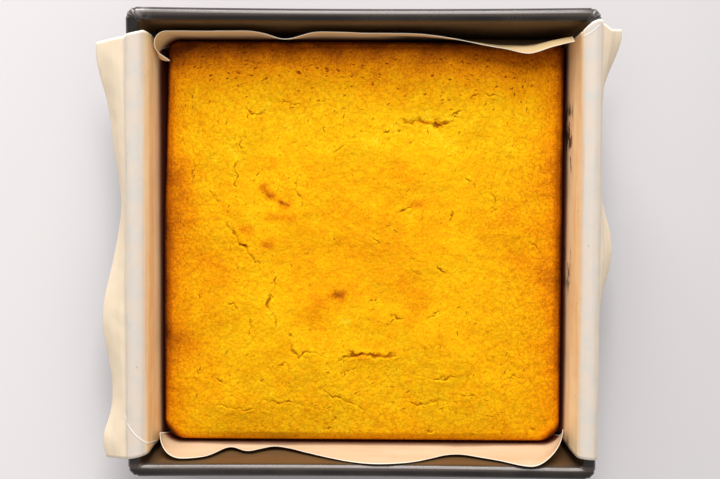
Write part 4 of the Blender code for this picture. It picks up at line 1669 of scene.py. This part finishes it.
    def browning_and_painted_light(self, x: np.ndarray, y: np.ndarray, z: np.ndarray) -> np.ndarray:
        """How far each place has turned brown, with painted shadow at the far side, painted shade at the near
        corners and down the sides, and a painted highlight beyond each crack.

        Args:
            x: X of each place.
            y: Y of each place.
            z: Height of each place.

        Returns:
            Its brown tone with the painted light, from 0 for yellow to 1 for dark brown.
        """
        left, right = x + self.half_x, self.half_x - x
        near, far = y + self.half_y, self.half_y - y
        beside = np.minimum(left, right)
        fade = 1.0 - 0.5 * np.clip((-y / MM - 45.0) / 40.0, 0.0, 1.0)
        edges = [
            fade * self.left_tone.tone(left),
            fade * self.right_tone.tone(right),
            self.near_tone.tone(near),
            # Far side: browning, partly painted shadow of the pan's far wall.
            self.far_browning_and_shadow.tone(far),
        ]
        strongest = np.maximum.reduce(edges)
        tone = 0.20 + strongest + 0.25 * (sum(edges) - strongest)
        # Near corners: browning, partly painted shade.
        tone += self.corner_browning_and_shade(beside, near)
        tone += fade * self.wide_side_tone.tone(beside)
        tone += self.wide_end_tone.tone(np.minimum(near, far))
        tone += self.middle_tone.tone(np.hypot(x, y))
        tone += self.pale_band.tone(np.abs(y - self.pale_band_y))
        # Painted highlight: a little lighter just beyond each crack, on the far lip that faces the light.
        for crack in CRACKS:
            distance, _ = crack.nearest(x / MM, y / MM - 1.4)
            tone -= 0.02 * np.exp(-((distance / 2.4) ** 2))
        ragged_x, ragged_y = self.wandered(x, y)
        for spot in SPOTS:
            tone += spot.tone(ragged_x, ragged_y)
        # Down the sides: browned crust, partly painted shade of the gap beside the paper.
        side_browning_and_shade = np.clip((self.edge_height - 1.0 * MM - z) / (5.0 * MM), 0.0, 1.0)
        return np.clip(tone + 0.55 * side_browning_and_shade, 0.0, 1.0)

    def shape(self) -> bmesh.types.BMesh:
        """Bend a grid into the crust, then draw its border down as the sides and close the base.

        Returns:
            The mesh, with how brown each place is, painted light included, and how deep in a crack.
        """
        builder = bmesh.new()
        bmesh.ops.create_grid(builder, x_segments=self.grid, y_segments=self.grid, size=1.0)
        unit = builder.verts.layers.float_vector.new("unit")
        for vert in builder.verts:
            vert[unit] = vert.co
        self.refine(builder, unit)
        brown = builder.verts.layers.float.new("browning_and_painted_light")
        crack = builder.verts.layers.float.new("crack")
        border = [edge for edge in builder.edges if edge.is_boundary]
        verts = list(builder.verts)
        x, y = self.plan(verts, unit, self.top_inset)
        z, mask = self.relief(x, y)
        for vert, place, depth in zip(verts, zip(x, y, z), mask):
            vert.co = place
            vert[crack] = depth
        for inset, height in self.side():
            border = drawn_on(builder, border)
            ring = list({vert for edge in border for vert in edge.verts})
            x, y = self.plan(ring, unit, inset)
            rough = self.side_bumps if height > self.floor else 0.0
            for vert, place_x, place_y, lift in zip(ring, x, y, self.drawn(x, y, 4.0 * MM, height / MM)):
                vert.co = (place_x, place_y, height + rough * lift)
                vert[crack] = 0.0
        bmesh.ops.contextual_create(builder, geom=border)
        verts = list(builder.verts)
        place = np.array([vert.co for vert in verts])
        for vert, tone in zip(verts, self.browning_and_painted_light(place[:, 0], place[:, 1], place[:, 2])):
            vert[brown] = tone
        bmesh.ops.triangulate(builder, faces=builder.faces)
        bmesh.ops.recalc_face_normals(builder, faces=builder.faces)
        return builder

    def finish(self) -> bpy.types.Material:
        """The golden crust."""
        return self.crust.material(self.half_x, self.half_y)


@dataclass
class Studio:
    """Plain pale floor, soft light from beyond the pan's far side, and the camera of the photograph."""

    floor_size: float = 6.0
    floor_drop: float = 0.2 * MM
    floor_colour: Colour = colour(234, 229, 230)
    floor_cloud: Colour = colour(228, 223, 224)
    floor_right_tone_and_shade: Colour = colour(203, 199, 200)
    camera_place: Triple = (0.0085, 0.0436, 0.7105)
    camera_target: Triple = (-0.0010, 0.0027, 0.0505)
    camera_roll: float = math.radians(0.239)
    focal_pixels: float = 1433.6
    sensor_width: float = 36.0
    lamp_distance: float = 3.0
    key_direction: Triple = (0.05, 0.76, 0.70)
    key_size: Pair = (1.3, 1.5)
    key_power: float = 56.0
    glow_direction: Triple = (-0.10, 0.94, 0.30)
    glow_size: Pair = (2.2, 0.75)
    glow_power: float = 78.0
    world_colour: Colour = (1.0, 0.985, 0.97, 1.0)
    world_strength: float = 0.48

    def floor(self) -> bpy.types.Object:
        """Lay the floor, a wide plain sheet just under the pan.

        Returns:
            The floor's object.
        """
        builder = bmesh.new()
        bmesh.ops.create_grid(builder, x_segments=4, y_segments=4, size=self.floor_size / 2.0)
        bmesh.ops.translate(builder, verts=builder.verts, vec=(0.0, 0.0, -self.floor_drop))
        mesh = bpy.data.meshes.new("floor")
        builder.to_mesh(mesh)
        builder.free()
        graph = Graph("pale_floor")
        cloud = graph.noise(graph.place, 3.0, 3.0)
        base = graph.mix(cloud, self.floor_colour, self.floor_cloud)
        # Darker towards the right: partly the floor's own tone, partly painted shade where the light falls
        # off.
        base = graph.mix(graph.axes(graph.place)[0].over(0.02, 0.30), base, self.floor_right_tone_and_shade)
        mesh.materials.append(graph.surface(Base_Color=base, Roughness=0.7, Specular_IOR_Level=0.2))
        made = bpy.data.objects.new("floor", mesh)
        bpy.context.scene.collection.objects.link(made)
        return made

    def camera(self) -> bpy.types.Object:
        """Put the camera at the photograph's viewpoint.

        Returns:
            The camera's object, which is the scene's camera.
        """
        lens = bpy.data.cameras.new("camera")
        lens.sensor_width = self.sensor_width
        lens.lens = self.focal_pixels * self.sensor_width / IMAGE_WIDTH
        lens.clip_start = 0.01
        made = bpy.data.objects.new("camera", lens)
        bpy.context.scene.collection.objects.link(made)
        place, target = Vector(self.camera_place), Vector(self.camera_target)
        back = (place - target).normalized()
        right = Vector((0.0, 1.0, 0.0)).cross(back).normalized()
        up = back.cross(right)
        turned_right = right * math.cos(self.camera_roll) + up * math.sin(self.camera_roll)
        turned_up = up * math.cos(self.camera_roll) - right * math.sin(self.camera_roll)
        turn = Matrix((turned_right, turned_up, back)).transposed()
        made.matrix_world = Matrix.Translation(place) @ turn.to_4x4()
        bpy.context.scene.camera = made
        return made

    def lamp(self, name: str, direction: Triple, size: Pair, power: float) -> bpy.types.Object:
        """Hang a soft light that faces the object.

        Args:
            name: Name of the light.
            direction: Where it hangs, seen from the object.
            size: Its width and height.
            power: Its power in watts.

        Returns:
            The light's object.
        """
        light = bpy.data.lights.new(name, "AREA")
        light.shape = "RECTANGLE"
        light.size, light.size_y = size
        light.energy = power
        made = bpy.data.objects.new(name, light)
        bpy.context.scene.collection.objects.link(made)
        towards = Vector(direction).normalized()
        made.location = towards * self.lamp_distance
        made.rotation_mode = "QUATERNION"
        made.rotation_quaternion = towards.to_track_quat("Z", "Y")
        return made

    def lights(self) -> None:
        """Hang both lights and set the even light all round."""
        self.lamp("key", self.key_direction, self.key_size, self.key_power)
        self.lamp("glow", self.glow_direction, self.glow_size, self.glow_power)
        world = bpy.data.worlds.new("studio")
        world.use_nodes = True
        background = world.node_tree.nodes["Background"]
        background.inputs["Color"].default_value = self.world_colour
        background.inputs["Strength"].default_value = self.world_strength
        bpy.context.scene.world = world

    def set_up(self) -> None:
        """Build the floor, camera and lights, and keep colours as they are mixed."""
        self.floor()
        self.camera()
        self.lights()
        bpy.context.scene.view_settings.view_transform = "Standard"
        bpy.context.scene.view_settings.look = "None"


def main() -> None:
    """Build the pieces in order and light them."""
    logging.basicConfig(level=logging.INFO, format="%(name)s: %(message)s")
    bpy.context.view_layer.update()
    Studio().set_up()
    for piece in (BakingPan(), AcrossStrip(), AlongStrip(), Cornbread()):
        piece.make()


if __name__ == "__main__":
    main()
